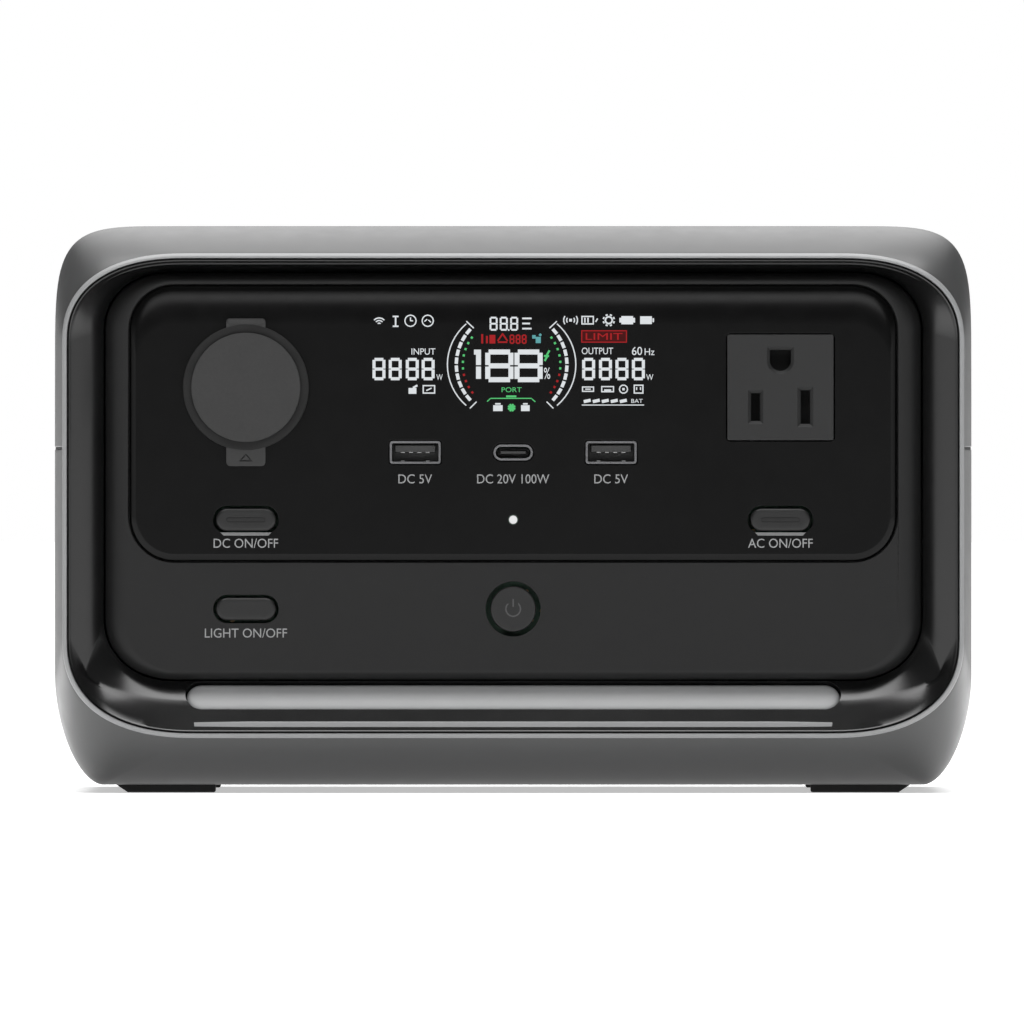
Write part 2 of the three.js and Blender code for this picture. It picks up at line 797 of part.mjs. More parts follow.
function addUsbPorts() {
  const back = panelFace + usbDepth;
  for (const [sideName, side] of sides) {
    const shell = rectangle(usbWidth, usbHeight, 0, side * usbPitch, usbRow);
    shell.holes.push(rectangle(usbWidth - 2 * usbWall, usbHeight - 2 * usbWall, 0, side * usbPitch, usbRow));
    piece(`usb_a_shell_${sideName}`, plate(shell, plateFace, back), 'steel');

    const tongueWidth = usbWidth - 2 * usbWall - 2 * gap;
    const innerHeight = usbHeight - 2 * usbWall - 2 * gap;
    const block = rectangle(tongueWidth, innerHeight, 0, side * usbPitch, usbRow);
    const tongueRow = usbRow + (innerHeight - usbTongueHeight) / 2 - gap / 2;
    const tongue = rectangle(tongueWidth - 1, usbTongueHeight, 0, side * usbPitch, tongueRow);
    const core = joined(plate(block, back - usbBlockDepth, back - gap), plate(tongue, plateFace + 2, back - 2));
    piece(`usb_a_tongue_${sideName}`, core, 'lensWhite');
  }
  const shellC = rectangle(usbCWidth, usbCHeight, usbCHeight, 0, usbRow);
  shellC.holes.push(rectangle(usbCWidth - 2 * usbWall, usbCHeight - 2 * usbWall, usbCHeight, 0, usbRow));
  piece('usb_c_shell', plate(shellC, plateFace, back), 'steel');
  const inner = usbCHeight - 2 * usbWall - 2 * gap;
  const blockC = rectangle(usbCWidth - 2 * usbWall - 2 * gap, inner, inner, 0, usbRow);
  const tongueC = rectangle(usbCWidth - 2 * usbWall - 8 * gap, usbCTongueHeight, 0, 0, usbRow);
  const coreC = joined(plate(blockC, back - usbBlockDepth, back - gap), plate(tongueC, plateFace + 1, back - 2));
  piece('usb_c_tongue', coreC, 'satinBlack');
}

function addButtons() {
  const buttons = [
    ['dc_button', -column, upperButtonRow, plateFace],
    ['ac_button', column, upperButtonRow, plateFace],
    ['light_button', -column, lowerButtonRow, panelFace],
  ];
  const stemRadius = 1.6;
  const stemEnd = controlBoardFront - buttonTravel - gap;
  for (const [name, x, z, face] of buttons) {
    const front = face - 0.4;
    const cap = plate(rectangle(buttonWidth, buttonHeight, buttonHeight, x, z), front, front + buttonThickness);
    const stem = plate(circle(stemRadius, x, z, 8), front + buttonThickness - gap, stemEnd);
    piece(name, joined(cap, stem), 'keyGrey');
  }
  const front = panelFace - 0.4;
  const cap = plate(circle(powerRadius, 0, lowerButtonRow), front, front + buttonThickness);
  const stem = plate(circle(stemRadius, 0, lowerButtonRow, 8), front + buttonThickness - gap, stemEnd);
  piece('power_button', joined(cap, stem), 'keyGrey');
  const pipe = circle(statusRadius, 0, upperButtonRow, smallSegments);
  piece('status_light_pipe', plate(pipe, plateFace, controlBoardFront - gap), 'lightWhite');
}

function addControlBoard() {
  const top = socketRow - socketRadius - socketWall - 1.5;
  const bottom = blockOutline.bottom + panelWall + boardEdge / 2;
  const half = blockOutline.half - panelWall - boardEdge;
  const shape = rectangle(2 * half, top - bottom, boardCorner, 0, (top + bottom) / 2);
  piece('control_board', plate(shape, controlBoardFront, controlBoardBack), 'boardGreen');
}

// ---- Battery ----

function cellPlaces() {
  const places = [];
  cellRows.forEach((count, row) => {
    for (let i = 0; i < count; i++) {
      const y = packFront + cellRadius + (i + row / 2) * cellPitch;
      places.push([y, packBottom + cellRadius + row * rowRise]);
    }
  });
  return places;
}

function addBattery() {
  cellPlaces().forEach(([y, z], index) => {
    const cell = new THREE.CylinderGeometry(cellRadius, cellRadius, cellLength, 24);
    cell.rotateZ(Math.PI / 2);
    cell.translate(0, y, z);
    piece(`battery_cell_${index + 1}`, cell, 'cellBlue');
  });
  for (const [sideName, side] of sides) {
    const y0 = packFront - holderMargin;
    const y1 = packFront + packLength + holderMargin;
    const middle = side * (cellLength / 2 - holderThickness);
    const plateBox = box(middle - holderThickness / 2, middle + holderThickness / 2, y0, y1,
      packBottom - holderMargin, packTop);
    const bores = cellPlaces().map(([y, z]) => {
      const bore = new THREE.CylinderGeometry(cellRadius + gap, cellRadius + gap, holderThickness + overshoot, 24);
      bore.rotateZ(Math.PI / 2);
      bore.translate(middle, y, z);
      return bore;
    });
    piece(`cell_holder_${sideName}`, cut(plateBox, ...bores), 'holderBlack');
  }
  const half = cellLength / 2 - holderThickness;
  const front = packFront + (packLength - batteryBoardLength) / 2;
  const top = batteryBoardHeight + boardThickness;
  const board = box(-half, half, front, front + batteryBoardLength, batteryBoardHeight, top);
  piece('battery_board', board, 'boardGreen');
}

// ---- Inverter ----

function addInverter() {
  const top = inverterHeight + boardThickness;
  const board = box(-inverterHalf, inverterHalf, inverterFront, inverterBack, inverterHeight, top);
  piece('inverter_board', board, 'boardGreen');

  const sinkHeight = insideTop - top - finHeadroom;
  const sinkLeft = heatsinkMargin - inverterHalf;
  const sinkEnd = (finCount - 1) * finPitch + finThickness;
  const profile = [[sinkEnd, 0]];
  for (let i = finCount - 1; i >= 0; i--) {
    const x = i * finPitch;
    profile.push([x + finThickness, sinkHeight], [x, sinkHeight]);
    if (i > 0) profile.push([x, finBase], [x - finPitch + finThickness, finBase]);
  }
  profile.push([0, 0]);
  const shape = new THREE.Shape(profile.map(([x, z]) => new THREE.Vector2(sinkLeft + x, top + gap + z)));
  piece('heatsink', plate(shape, inverterFront + heatsinkMargin, inverterBack - heatsinkMargin), 'aluminium');

  const seat = top + gap;
  const coreFront = inverterFront + coreHalf;
  const coreMiddle = coreFront + coreLength / 2;
  const windingBottom = seat + (coreHeight - windingHeight) / 2;
  const windingFront = coreMiddle - windingLength / 2;
  const core = box(-coreHalf, coreHalf, coreFront, coreFront + coreLength, seat, seat + coreHeight);
  const winding = box(-windingHalf, windingHalf, windingFront, windingFront + windingLength, windingBottom,
    windingBottom + windingHeight);
  piece('transformer', joined(core, winding), 'holderBlack');
  for (const [sideName, side] of sides) {
    const can = new THREE.CylinderGeometry(capacitorRadius, capacitorRadius, capacitorLength, smallSegments);
    const across = inverterHalf - capacitorMargin + (side * capacitorPitch) / 2;
    can.rotateX(Math.PI / 2);
    can.translate(across, coreMiddle, seat + capacitorLength / 2);
    piece(`capacitor_${sideName}`, can, 'satinBlack');
  }
}

// ---- Cooling ----

function addVents() {
  for (const [sideName, side] of sides) {
    const outside = halfWidth - gap;
    const x0 = side > 0 ? outside - ventThickness : -outside;
    const blank = box(x0, x0 + ventThickness, ...ventShape(0));
    const count = Math.floor((ventLength - 2 * ventEdge + ventPitch - ventSlot) / ventPitch);
    const slots = [];
    for (let i = 0; i < count; i++) {
      const middle = ventMiddle + (i - (count - 1) / 2) * ventPitch;
      slots.push(box(x0 - overshoot, x0 + ventThickness + overshoot, middle - ventSlot / 2, middle + ventSlot / 2,
        ventRow - ventHeight / 2 + ventEdge, ventRow + ventHeight / 2 - ventEdge));
    }
    piece(`side_vent_${sideName}`, cut(blank, ...slots), 'satinBlack');
  }
}

function addFan() {
  const bore = fanSize / 2 - fanRim;
  const frame = new THREE.Group();
  frame.position.set(fanOutside, ventMiddle, ventRow);
  frame.rotation.z = Math.PI / 2;
  station.add(frame);
  // Inside this group +Y points into the case and +X runs to the back.
  const shape = rectangle(fanSize, fanSize, fanCorner);
  shape.holes.push(circle(bore));
  const square = plate(shape, 0, fanThickness);
  const reach = bore + gap;
  const across = fanStrut / 2;
  const strutFront = fanThickness - fanStrutDepth;
  const struts = [
    box(-reach, reach, strutFront, fanThickness, -across, across),
    box(-across, across, strutFront, fanThickness, -reach, reach),
  ];
  const mount = plate(circle(fanMountRadius, 0, 0, smallSegments), fanThickness - fanMountDepth, fanThickness);
  piece('fan_frame', joined(square, ...struts, mount), 'fanBlack', frame);

  const hubBack = fanThickness - fanMountDepth - gap;
  const hub = plate(circle(hubRadius, 0, 0, smallSegments), hubRecess, hubBack);
  const bladeRoot = hubRadius - 2 * bladeThickness;
  const bladeTip = bore - fanTipClearance;
  const blades = [];
  for (let i = 0; i < fanBlades; i++) {
    const blade = new THREE.BoxGeometry(bladeTip - bladeRoot, bladeThickness, bladeChord);
    blade.rotateX(bladePitch);
    blade.translate((bladeTip + bladeRoot) / 2, (hubRecess + hubBack) / 2, 0);
    blade.rotateY((2 * Math.PI * i) / fanBlades);
    blades.push(blade);
  }
  piece('fan_rotor', joined(hub, ...blades), 'fanBlack', frame);
}

// ---- Rear cover, rear ports and flap ----

function addRear() {
  const rearEnd = resized(bodyOutline, -rearInset - wall - slip);
  const shape = new THREE.Shape(outlinePoints(rearEnd));
  for (const [, side] of sides) shape.holes.push(outletOpening(side * rearOutletPitch / 2, rearOutletRow));
  shape.holes.push(rectangle(inletWidth + 2 * gap, inletHeight + 2 * gap, 2, -inletPitch / 2, inletRow));
  shape.holes.push(rectangle(solarWidth + 2 * gap, solarHeight + 2 * gap, 2, inletPitch / 2, inletRow));
  const cover = plate(shape, rearInside, rearFace);
  const pinLine = rearFace + gap + knuckleRadius;
  const lugs = sides.map(([, side]) => {
    const inner = side * (flapWidth / 2 + gap);
    const outer = side * (flapWidth / 2 + gap + lugWidth);
    return box(Math.min(inner, outer), Math.max(inner, outer), rearFace - gap, pinLine + knuckleRadius,
      hingeHeight - knuckleRadius, hingeHeight + knuckleRadius);
  });
  const pinBore = new THREE.CylinderGeometry(pinRadius + gap, pinRadius + gap, bodyWidth, smallSegments);
  pinBore.rotateZ(Math.PI / 2);
  pinBore.translate(0, pinLine, hingeHeight);
  piece('rear_cover', joined(cover, ...lugs).subtract(solid(pinBore)), 'caseGrey');

  for (const [sideName, side] of sides) {
    const body = plate(outletShape(), rearFace - outletDepth, rearFace + gap, 2 * cornerSteps);
    body.translate(side * rearOutletPitch / 2, 0, rearOutletRow);
    piece(`ac_outlet_rear_${sideName}`, body, 'keyGrey');
  }

  const inletFront = rearFace - inletDepth;
  const pinFront = inletFront + inletFloor / 2;
  const pinBack = rearFace - inletPinEnd;
  const inletBlock = plate(rectangle(inletWidth, inletHeight, 2), inletFront, rearFace);
  const inletMouth = rectangle(inletWidth - 2 * inletWall, inletHeight - 2 * inletWall, 2);
  const inletCavity = plate(inletMouth, inletFront + inletFloor, rearFace + overshoot);
  const blades = [[-7, -2], [0, 2], [7, -2]].map(([x, z]) => box(x - 1, x + 1, pinFront, pinBack, z - 2, z + 2));
  const inlet = cut(inletBlock, inletCavity).add(joined(...blades)).translate(-inletPitch / 2, 0, inletRow);
  piece('ac_inlet', inlet, 'satinBlack');

  const solarBlock = plate(rectangle(solarWidth, solarHeight, 2), inletFront, rearFace);
  const solarMouth = rectangle(solarWidth - 2 * inletWall, solarHeight - 2 * inletWall, 2);
  const solarCavity = plate(solarMouth, inletFront + inletFloor, rearFace + overshoot);
  const pins = [-4, 4].map((x) => plate(circle(1.8, x, 0, 12), pinFront, pinBack));
  const solar = cut(solarBlock, solarCavity).add(joined(...pins)).translate(inletPitch / 2, 0, inletRow);
  piece('solar_inlet', solar, 'satinBlack');

  const flapTop = hingeHeight;
  const leafShape = rectangle(flapWidth, flapHeight, 3, 0, flapTop - flapHeight / 2);
  const leaf = plate(leafShape, rearFace + gap, rearFace + gap + flapThickness);
  const knuckle = new THREE.CylinderGeometry(knuckleRadius, knuckleRadius, flapWidth, smallSegments);
  knuckle.rotateZ(Math.PI / 2);
  knuckle.translate(0, pinLine, hingeHeight);
  const crown = box(-bodyWidth, bodyWidth, rearFace, rearFace + 9, hingeHeight, hingeHeight + 9);
  const flap = solid(leaf).subtract(solid(crown)).add(solid(knuckle)).subtract(solid(pinBore));
  piece('port_flap', flap, 'softRubber');
  const pinLength = flapWidth + 2 * (gap + lugWidth);
  const pin = new THREE.CylinderGeometry(pinRadius, pinRadius, pinLength, smallSegments);
  pin.rotateZ(Math.PI / 2);
  pin.translate(0, pinLine, hingeHeight);
  piece('flap_hinge_pin', pin, 'steel');
}

// ---- Handle ----

function addHandle() {
  const near = rearFace + gap;
  const far = overallDepth / 2;
  const half = handleWidth / 2;
  const innerHalf = half - handleArm;
  const innerFar = far - handleBar;
  const innerCorner = handleCorner - handleBar;
  const shape = new THREE.Shape();
  shape.moveTo(half, near);
  shape.absarc(half - handleCorner, far - handleCorner, handleCorner, 0, Math.PI / 2);
  shape.absarc(-half + handleCorner, far - handleCorner, handleCorner, Math.PI / 2, Math.PI);
  shape.lineTo(-half, near);
  shape.lineTo(-innerHalf, near);
  shape.absarc(-innerHalf + innerCorner, innerFar - innerCorner, innerCorner, Math.PI, Math.PI / 2, true);
  shape.absarc(innerHalf - innerCorner, innerFar - innerCorner, innerCorner, Math.PI / 2, 0, true);
  shape.lineTo(innerHalf, near);
  piece('carry_handle', slab(shape, handleBottom, handleTop), 'caseGrey');

  const middle = far - handleBar / 2;
  const grip = rectangle(gripWidth, handleBar - 2, 5, 0, middle);
  piece('handle_grip', slab(grip, handleBottom - gap - gripThickness, handleBottom - gap), 'softRubber');
}

addCase();
addFeet();
addBezel();
addLightBar();
addPanel();
addDisplay();
addCarSocket();
addCarPortCover();
addFrontOutlet();
addUsbPorts();
addButtons();
addControlBoard();
addBattery();
addInverter();
addVents();
addFan();
addRear();
addHandle();

export default station;
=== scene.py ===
"""A portable power station: how its case, front panel, ports, covers, handle and inner parts look."""

import math

import bpy
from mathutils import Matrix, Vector


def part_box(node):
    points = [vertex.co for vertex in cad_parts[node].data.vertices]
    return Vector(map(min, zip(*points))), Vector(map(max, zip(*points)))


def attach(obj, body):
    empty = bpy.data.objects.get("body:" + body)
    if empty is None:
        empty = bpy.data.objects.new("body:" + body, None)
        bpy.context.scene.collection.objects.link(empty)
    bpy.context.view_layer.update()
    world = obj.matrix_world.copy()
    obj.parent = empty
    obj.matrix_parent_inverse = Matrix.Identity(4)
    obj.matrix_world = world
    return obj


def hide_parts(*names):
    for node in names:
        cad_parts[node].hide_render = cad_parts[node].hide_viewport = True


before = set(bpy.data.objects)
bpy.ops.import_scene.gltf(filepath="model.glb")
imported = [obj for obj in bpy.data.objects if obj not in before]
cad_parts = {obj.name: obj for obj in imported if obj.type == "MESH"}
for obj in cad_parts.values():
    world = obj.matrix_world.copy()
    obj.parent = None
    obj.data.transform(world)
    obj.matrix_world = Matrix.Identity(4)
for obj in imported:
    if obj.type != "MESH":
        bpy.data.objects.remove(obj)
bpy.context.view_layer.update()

MM = 0.001
SIDES = (("left", -1), ("right", 1))
CORNER_STEPS = 24  # points to a quarter turn of an outline

# ---- Sizes in millimetres: X to the right, Y to the back, Z up ----


def corners(node):
    """The lowest and the highest corner of a frame piece, in millimetres."""
    low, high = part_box(node)
    return [value / MM for value in low], [value / MM for value in high]


def middle(node):
    """The middle of a frame piece's box, in millimetres."""
    low, high = corners(node)
    return [(a + b) / 2 for a, b in zip(low, high)]


def outline(half, top, bottom, upper, lower):
    """Half a width, a top, a bottom, then the reach across, the reach up and the squareness of the corners."""
    return [half, top, bottom, *upper, *lower]


def grown(shape, amount):
    """An outline moved outwards all round."""
    half, top, bottom, across, up, power, low_across, low_up, low_power = shape
    upper = (across + amount, up + amount, power)
    lower = (low_across + amount, low_up + amount, low_power)
    return outline(half + amount, top + amount, bottom - amount, upper, lower)


def mixed(start, end, share):
    """An outline part of the way between two others."""
    return [a + (b - a) * share for a, b in zip(start, end)]


CASE_TOP = corners("upper_shell")[1][2]
HALF_WIDTH = corners("upper_shell")[1][0]
CASE_FRONT = corners("upper_shell")[0][1]
CASE_BACK = corners("upper_shell")[1][1]
LIP_FRONT = corners("front_bezel")[0][1]
PANEL_FACE = corners("front_panel")[0][1]
PLATE_FACE = corners("faceplate")[0][1]
PLATE_BACK = corners("faceplate")[1][1]
VALLEY = LIP_FRONT + 9  # depth of the groove between the bezel's slope and the panel
PANEL_BACK = LIP_FRONT + 15
OPENING_DEPTH = (PANEL_FACE - 3, VALLEY + 4)
BROW_REACH = 4.3  # of the rear cover's brow over its outlets
REAR_FACE = corners("rear_cover")[1][1] - BROW_REACH
SCREW_RISE = 0.45
COLUMN = middle("ac_outlet_front")[0]
SOCKET_ROW = middle("ac_outlet_front")[2]
UPPER_ROW = middle("dc_button")[2]
LOWER_ROW = middle("light_button")[2]
USB_ROW = middle("usb_c_shell")[2]
USB_PITCH = middle("usb_a_shell_right")[0]
SEAM_TOP = corners("upper_shell")[0][2]
SEAM_BOTTOM = corners("lower_shell")[1][2]
WALL = 2.4
NOSE = 24  # how far the case's front slopes in
NOSE_CURVE = 1.7  # one gives a straight slope, more a rounder one
REAR_ROLL = 8  # depth of the rounded rear edge
KEY_WIDTH, KEY_HEIGHT = 15.3, 5.8
KEY_GAP = 0.7  # between an oblong key and its opening
KEY_RISE = 0.4  # how far the keys stand proud
POWER_RADIUS = 5.8
USB_A = (13, 5.8, 0.7)  # width, height and corner of a port's shell
USB_C = (10.1, 4.1, 2.04)
PORT_GAP = 0.3  # between a port or an outlet and its opening
OUTLET_WIDTH, OUTLET_HEIGHT, OUTLET_DEPTH = 27.2, 27, 14
FILM = 0.03  # thickness of printed and lit marks
# Place and lean of the pale strip under the light bar, a painted highlight.
HIGHLIGHT_STRIP_ROW = 17.5
HIGHLIGHT_STRIP_LEAN = math.atan2(3.2, 8.1)

BODY = outline(HALF_WIDTH, CASE_TOP, 2, (37, 45, 5.6), (12.3, 28, 1.8))
RIM = outline(HALF_WIDTH - 2.2, CASE_TOP - 7.2, 14.1, (31.5, 22.5, 2.35), (34.5, 25.5, 2.4))
RING = grown(RIM, -1.3)
MOUTH = outline(RING[0] - 9.2, RING[1] - 3.3, RING[2] + 13.2, (17, 15, 2.1), (18, 16, 2.1))
BLOCK = grown(MOUTH, -0.4)
FACE = outline(BLOCK[0] - 5.9, BLOCK[1] - 2.3, BLOCK[2] + 2.4, (12, 12, 2), (12, 12, 2))
# Along the bottom the bezel's slope has two facets: a steep one outside and a flat one round the light bar.
MOUTH_DEPTH = VALLEY - 1.3
CREASE_SHARE = 0.46
CREASE_SIDE = mixed(grown(RIM, -2.2), MOUTH, CREASE_SHARE)
CREASE = (LIP_FRONT + 4.0, outline(CREASE_SIDE[0], CREASE_SIDE[1], 23.5, CREASE_SIDE[3:6], (29, 8.4, 2)))
PLATE_LOW, PLATE_HIGH = corners("faceplate")

# ---- Modelling helpers ----


def only(obj):
    """Selects one object and nothing else."""
    bpy.ops.object.select_all(action="DESELECT")
    obj.select_set(True)
    bpy.context.view_layer.objects.active = obj


def edit(obj):
    only(obj)
    bpy.ops.object.mode_set(mode="EDIT")


def leave():
    bpy.ops.object.mode_set(mode="OBJECT")


def pick(obj, kind, test):
    """Enters edit mode with the edges or faces selected whose middle and direction pass the test."""
    edit(obj)
    bpy.ops.mesh.select_mode(type=kind)
    bpy.ops.mesh.select_all(action="DESELECT")
    leave()
    mesh = obj.data
    if kind == "FACE":
        for face in mesh.polygons:
            face.select = bool(test(face.center / MM, face.normal))
    else:
        for edge in mesh.edges:
            start, end = (mesh.vertices[i].co for i in edge.vertices)
            edge.select = bool(test((start + end) / 2 / MM, (end - start).normalized()))
    bpy.ops.object.mode_set(mode="EDIT")


def settle(obj):
    """Puts the place, turn and size of an object into its mesh."""
    only(obj)
    bpy.ops.object.transform_apply(location=True, rotation=True, scale=True)
    return obj


def ring(shape, steps=CORNER_STEPS):
    """The points of an outline, anticlockwise as seen from the front, one curved arc to a corner."""
    half, top, bottom, *bends = shape
    points = []
    for corner in range(4):
        right = 1 if corner in (0, 3) else -1
        rise = 1 if corner < 2 else -1
        edge = top if corner < 2 else bottom
        across, up, power = bends[:3] if corner < 2 else bends[3:]
        for i in range(steps + 1):
            outward = i if corner % 2 == 0 else steps - i
            angle = outward / steps * math.pi / 2
            dx = across * max(math.cos(angle), 0) ** (2 / power) if outward < steps else 0
            dz = up * max(math.sin(angle), 0) ** (2 / power)
            points.append((right * (half - across + dx), edge + rise * (dz - up)))
    return points


def round_points(radius, x=0, z=0, count=64):
    """Points round a circle, seen from the front."""
    turns = [2 * math.pi * i / count for i in range(count)]
    return [(x + radius * math.cos(turn), z + radius * math.sin(turn)) for turn in turns]


def skin(name, rings, hoop=False):
    """A skin through rings of points, given as a depth and its points from the back to the front."""
    count = len(rings[0][1])
    bpy.ops.object.select_all(action="DESELECT")
    bpy.ops.mesh.primitive_circle_add(vertices=count, radius=1, fill_type="NOTHING" if hoop else "NGON")
    obj = bpy.context.object
    obj.name = name
    bpy.ops.object.mode_set(mode="EDIT")
    bpy.ops.mesh.select_all(action="SELECT")
    for _ in rings[1:]:
        bpy.ops.mesh.extrude_region_move(TRANSFORM_OT_translate={"value": (0, 0, 1)})
    leave()
    for vertex in obj.data.vertices:
        depth, points = rings[round(vertex.co.z)]
        turn = math.atan2(vertex.co.y, vertex.co.x) / (2 * math.pi)
        x, z = points[round(turn * count) % count]
        vertex.co = (x * MM, depth * MM, z * MM)
    closed(obj)
    return obj


def closed(obj):
    """Merges doubled points and turns the faces outwards."""
    edit(obj)
    bpy.ops.mesh.select_all(action="SELECT")
    bpy.ops.mesh.remove_doubles(threshold=1e-6)
    bpy.ops.mesh.normals_make_consistent(inside=False)
    leave()
    return obj


def lofted(name, sections, hoop=False):
    """A skin through outlines, each given with its depth."""
    return skin(name, [(depth, ring(shape)) for depth, shape in sections], hoop)


def turned(name, profile, x=0, z=0, count=64, hoop=False):
    """A round piece about a line along Y, from [depth, radius] pairs listed from the back to the front."""
    return skin(name, [(depth, round_points(radius, x, z, count)) for depth, radius in profile], hoop)


def block(name, low, high):
    """A box between two corners."""
    bpy.ops.object.select_all(action="DESELECT")
    centre = [(a + b) / 2 * MM for a, b in zip(low, high)]
    bpy.ops.mesh.primitive_cube_add(size=1, location=centre)
    obj = bpy.context.object
    obj.name = name
    obj.scale = [(b - a) * MM for a, b in zip(low, high)]
    return settle(obj)


def tile(name, x, z, width, height, front, back, corner=0.0, segments=8, test=None):
    """A plate seen from the front, with its corners rounded, or only those that pass the test."""
    low = (x - width / 2, front, z - height / 2)
    obj = block(name, low, (x + width / 2, back, z + height / 2))
    if corner:
        pick(obj, "EDGE", lambda at, way: abs(way.y) > 0.9 and (test is None or test(at)))
        bpy.ops.mesh.bevel(offset=corner * MM, segments=segments, affect="EDGES", clamp_overlap=True)
        leave()
    return obj


def flared(obj, front, depth, growth):
    """Widens the front face of a cutter over a depth, then runs it straight out."""
    pick(obj, "FACE", lambda at, way: way.y < -0.9)
    low, high = limits(obj)
    size = [end - start for start, end in zip(low, high)]
    at = [(start + end) / 2 * MM for start, end in zip(low, high)]
    at[1] = front * MM
    bpy.ops.mesh.extrude_region_move(TRANSFORM_OT_translate={"value": (0, -depth * MM, 0)})
    scale = [(size[0] + 2 * growth) / size[0], 1, (size[2] + 2 * growth) / size[2]]
    bpy.ops.transform.resize(value=scale, center_override=at)
    bpy.ops.mesh.extrude_region_move(TRANSFORM_OT_translate={"value": (0, -1 * MM, 0)})
    leave()
    return obj


def limits(obj):
    """The lowest and the highest corner of an object's mesh, in millimetres."""
    if obj.mode == "EDIT":
        obj.update_from_editmode()
    points = [vertex.co / MM for vertex in obj.data.vertices]
    low = [min(point[axis] for point in points) for axis in range(3)]
    high = [max(point[axis] for point in points) for axis in range(3)]
    return low, high


def joined(first, *others):
    """Makes several objects one mesh, without merging them."""
    only(first)
    for other in others:
        other.select_set(True)
    bpy.ops.object.join()
    return first


def apply_modifier(obj, kind, **settings):
    """Adds a modifier with its settings and makes its result the mesh."""
    modifier = obj.modifiers.new(kind.lower(), kind)
    for name, value in settings.items():
        setattr(modifier, name, value)
    only(obj)
    bpy.ops.object.modifier_apply(modifier=modifier.name)
    return obj


def carve(obj, *cutters, operation="DIFFERENCE"):
    """Cuts cutters away from a piece, or adds them to it."""
    tool = joined(*cutters) if len(cutters) > 1 else cutters[0]
    apply_modifier(obj, "BOOLEAN", operation=operation, solver="EXACT", object=tool)
    bpy.data.objects.remove(tool)
    return obj


def pill(name, x, z, width, height, profile, steps=10):
    """A plate with rounded ends, from [depth, inset] pairs listed from the back to the front."""
    rings = []
    for depth, inset in profile:
        bend = height / 2 - 0.02 - inset
        half_high = height / 2 - inset
        shape = outline(width / 2 - inset, half_high, -half_high, (bend, bend, 2), (bend, bend, 2))
        rings.append((depth, [(x + across, z + up) for across, up in ring(shape, steps)]))
    return skin(name, rings)


def soften(obj, width, segments=3, angle=40):
    """Rounds the edges that are sharper than an angle."""
    return apply_modifier(obj, "BEVEL", width=width * MM, segments=segments, limit_method="ANGLE",
                          angle_limit=math.radians(angle), use_clamp_overlap=True)


def copied(obj, name, offset=(0, 0, 0)):
    """A copy with its own mesh, moved by an offset."""
    other = obj.copy()
    other.data = obj.data.copy()
    other.name = name
    bpy.context.scene.collection.objects.link(other)
    other.location = [value * MM for value in offset]
    return settle(other)


def refined(node, width, segments=2, angle=40):
    """A copy of a frame piece with its points merged, its flat faces joined and its edges rounded."""
    source = bpy.data.objects[node]
    obj = source.copy()
    obj.data = source.data.copy()
    obj.name = node + "_shape"
    bpy.context.scene.collection.objects.link(obj)
    obj.parent = None
    closed(obj)
    edit(obj)
    bpy.ops.mesh.select_all(action="SELECT")
    bpy.ops.mesh.dissolve_limited(angle_limit=math.radians(1))
    leave()
    return soften(obj, width, segments, angle)


def complete(obj, finish, body="case", stands_for=(), angle=35):
    """Shades a piece, gives it its finish and its body, and hides the frame pieces it stands for."""
    settle(obj)
    bpy.ops.object.shade_smooth_by_angle(angle=math.radians(angle))
    apply_modifier(obj, "WEIGHTED_NORMAL", keep_sharp=True, weight=80)
    obj.data.materials.clear()
    obj.data.materials.append(finish.material)
    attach(obj, body)
    if stands_for:
        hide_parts(*([stands_for] if isinstance(stands_for, str) else stands_for))
    return obj


def dress(finish, *nodes):
    """Gives frame pieces that keep their shape a finish."""
    for node in nodes:
        data = bpy.data.objects[node].data
        data.materials.clear()
        data.materials.append(finish.material)


# ---- Finishes ----


class Flow:
    """An output of a node that is worked on with arithmetic signs."""

    def __init__(self, tree, socket):
        self.tree = tree
        self.socket = socket

    def worked(self, operation, first, second):
        return self.tree.node("ShaderNodeMath", {"operation": operation}, {0: first, 1: second})

    def __add__(self, other):
        return self.worked("ADD", self, other)

    def __radd__(self, other):
        return self.worked("ADD", other, self)

    def __sub__(self, other):
        return self.worked("SUBTRACT", self, other)

    def __rsub__(self, other):
        return self.worked("SUBTRACT", other, self)

    def __mul__(self, other):
        return self.worked("MULTIPLY", self, other)

    def __rmul__(self, other):
        return self.worked("MULTIPLY", other, self)


class Tree:
    """Adds nodes to a node tree, with their settings first and then their sockets."""

    def __init__(self, tree):
        self.tree = tree

    def node(self, kind, settings=None, sockets=None, output=0):
        made = self.tree.nodes.new(kind)
        for name, value in (settings or {}).items():
            setattr(made, name, value)
        for name, value in (sockets or {}).items():
            self.feed(made.inputs[name], value)
        return Flow(self, made.outputs[output])

    def feed(self, socket, value):
        if isinstance(value, Flow):
            self.tree.links.new(value.socket, socket)
        else:
            socket.default_value = value


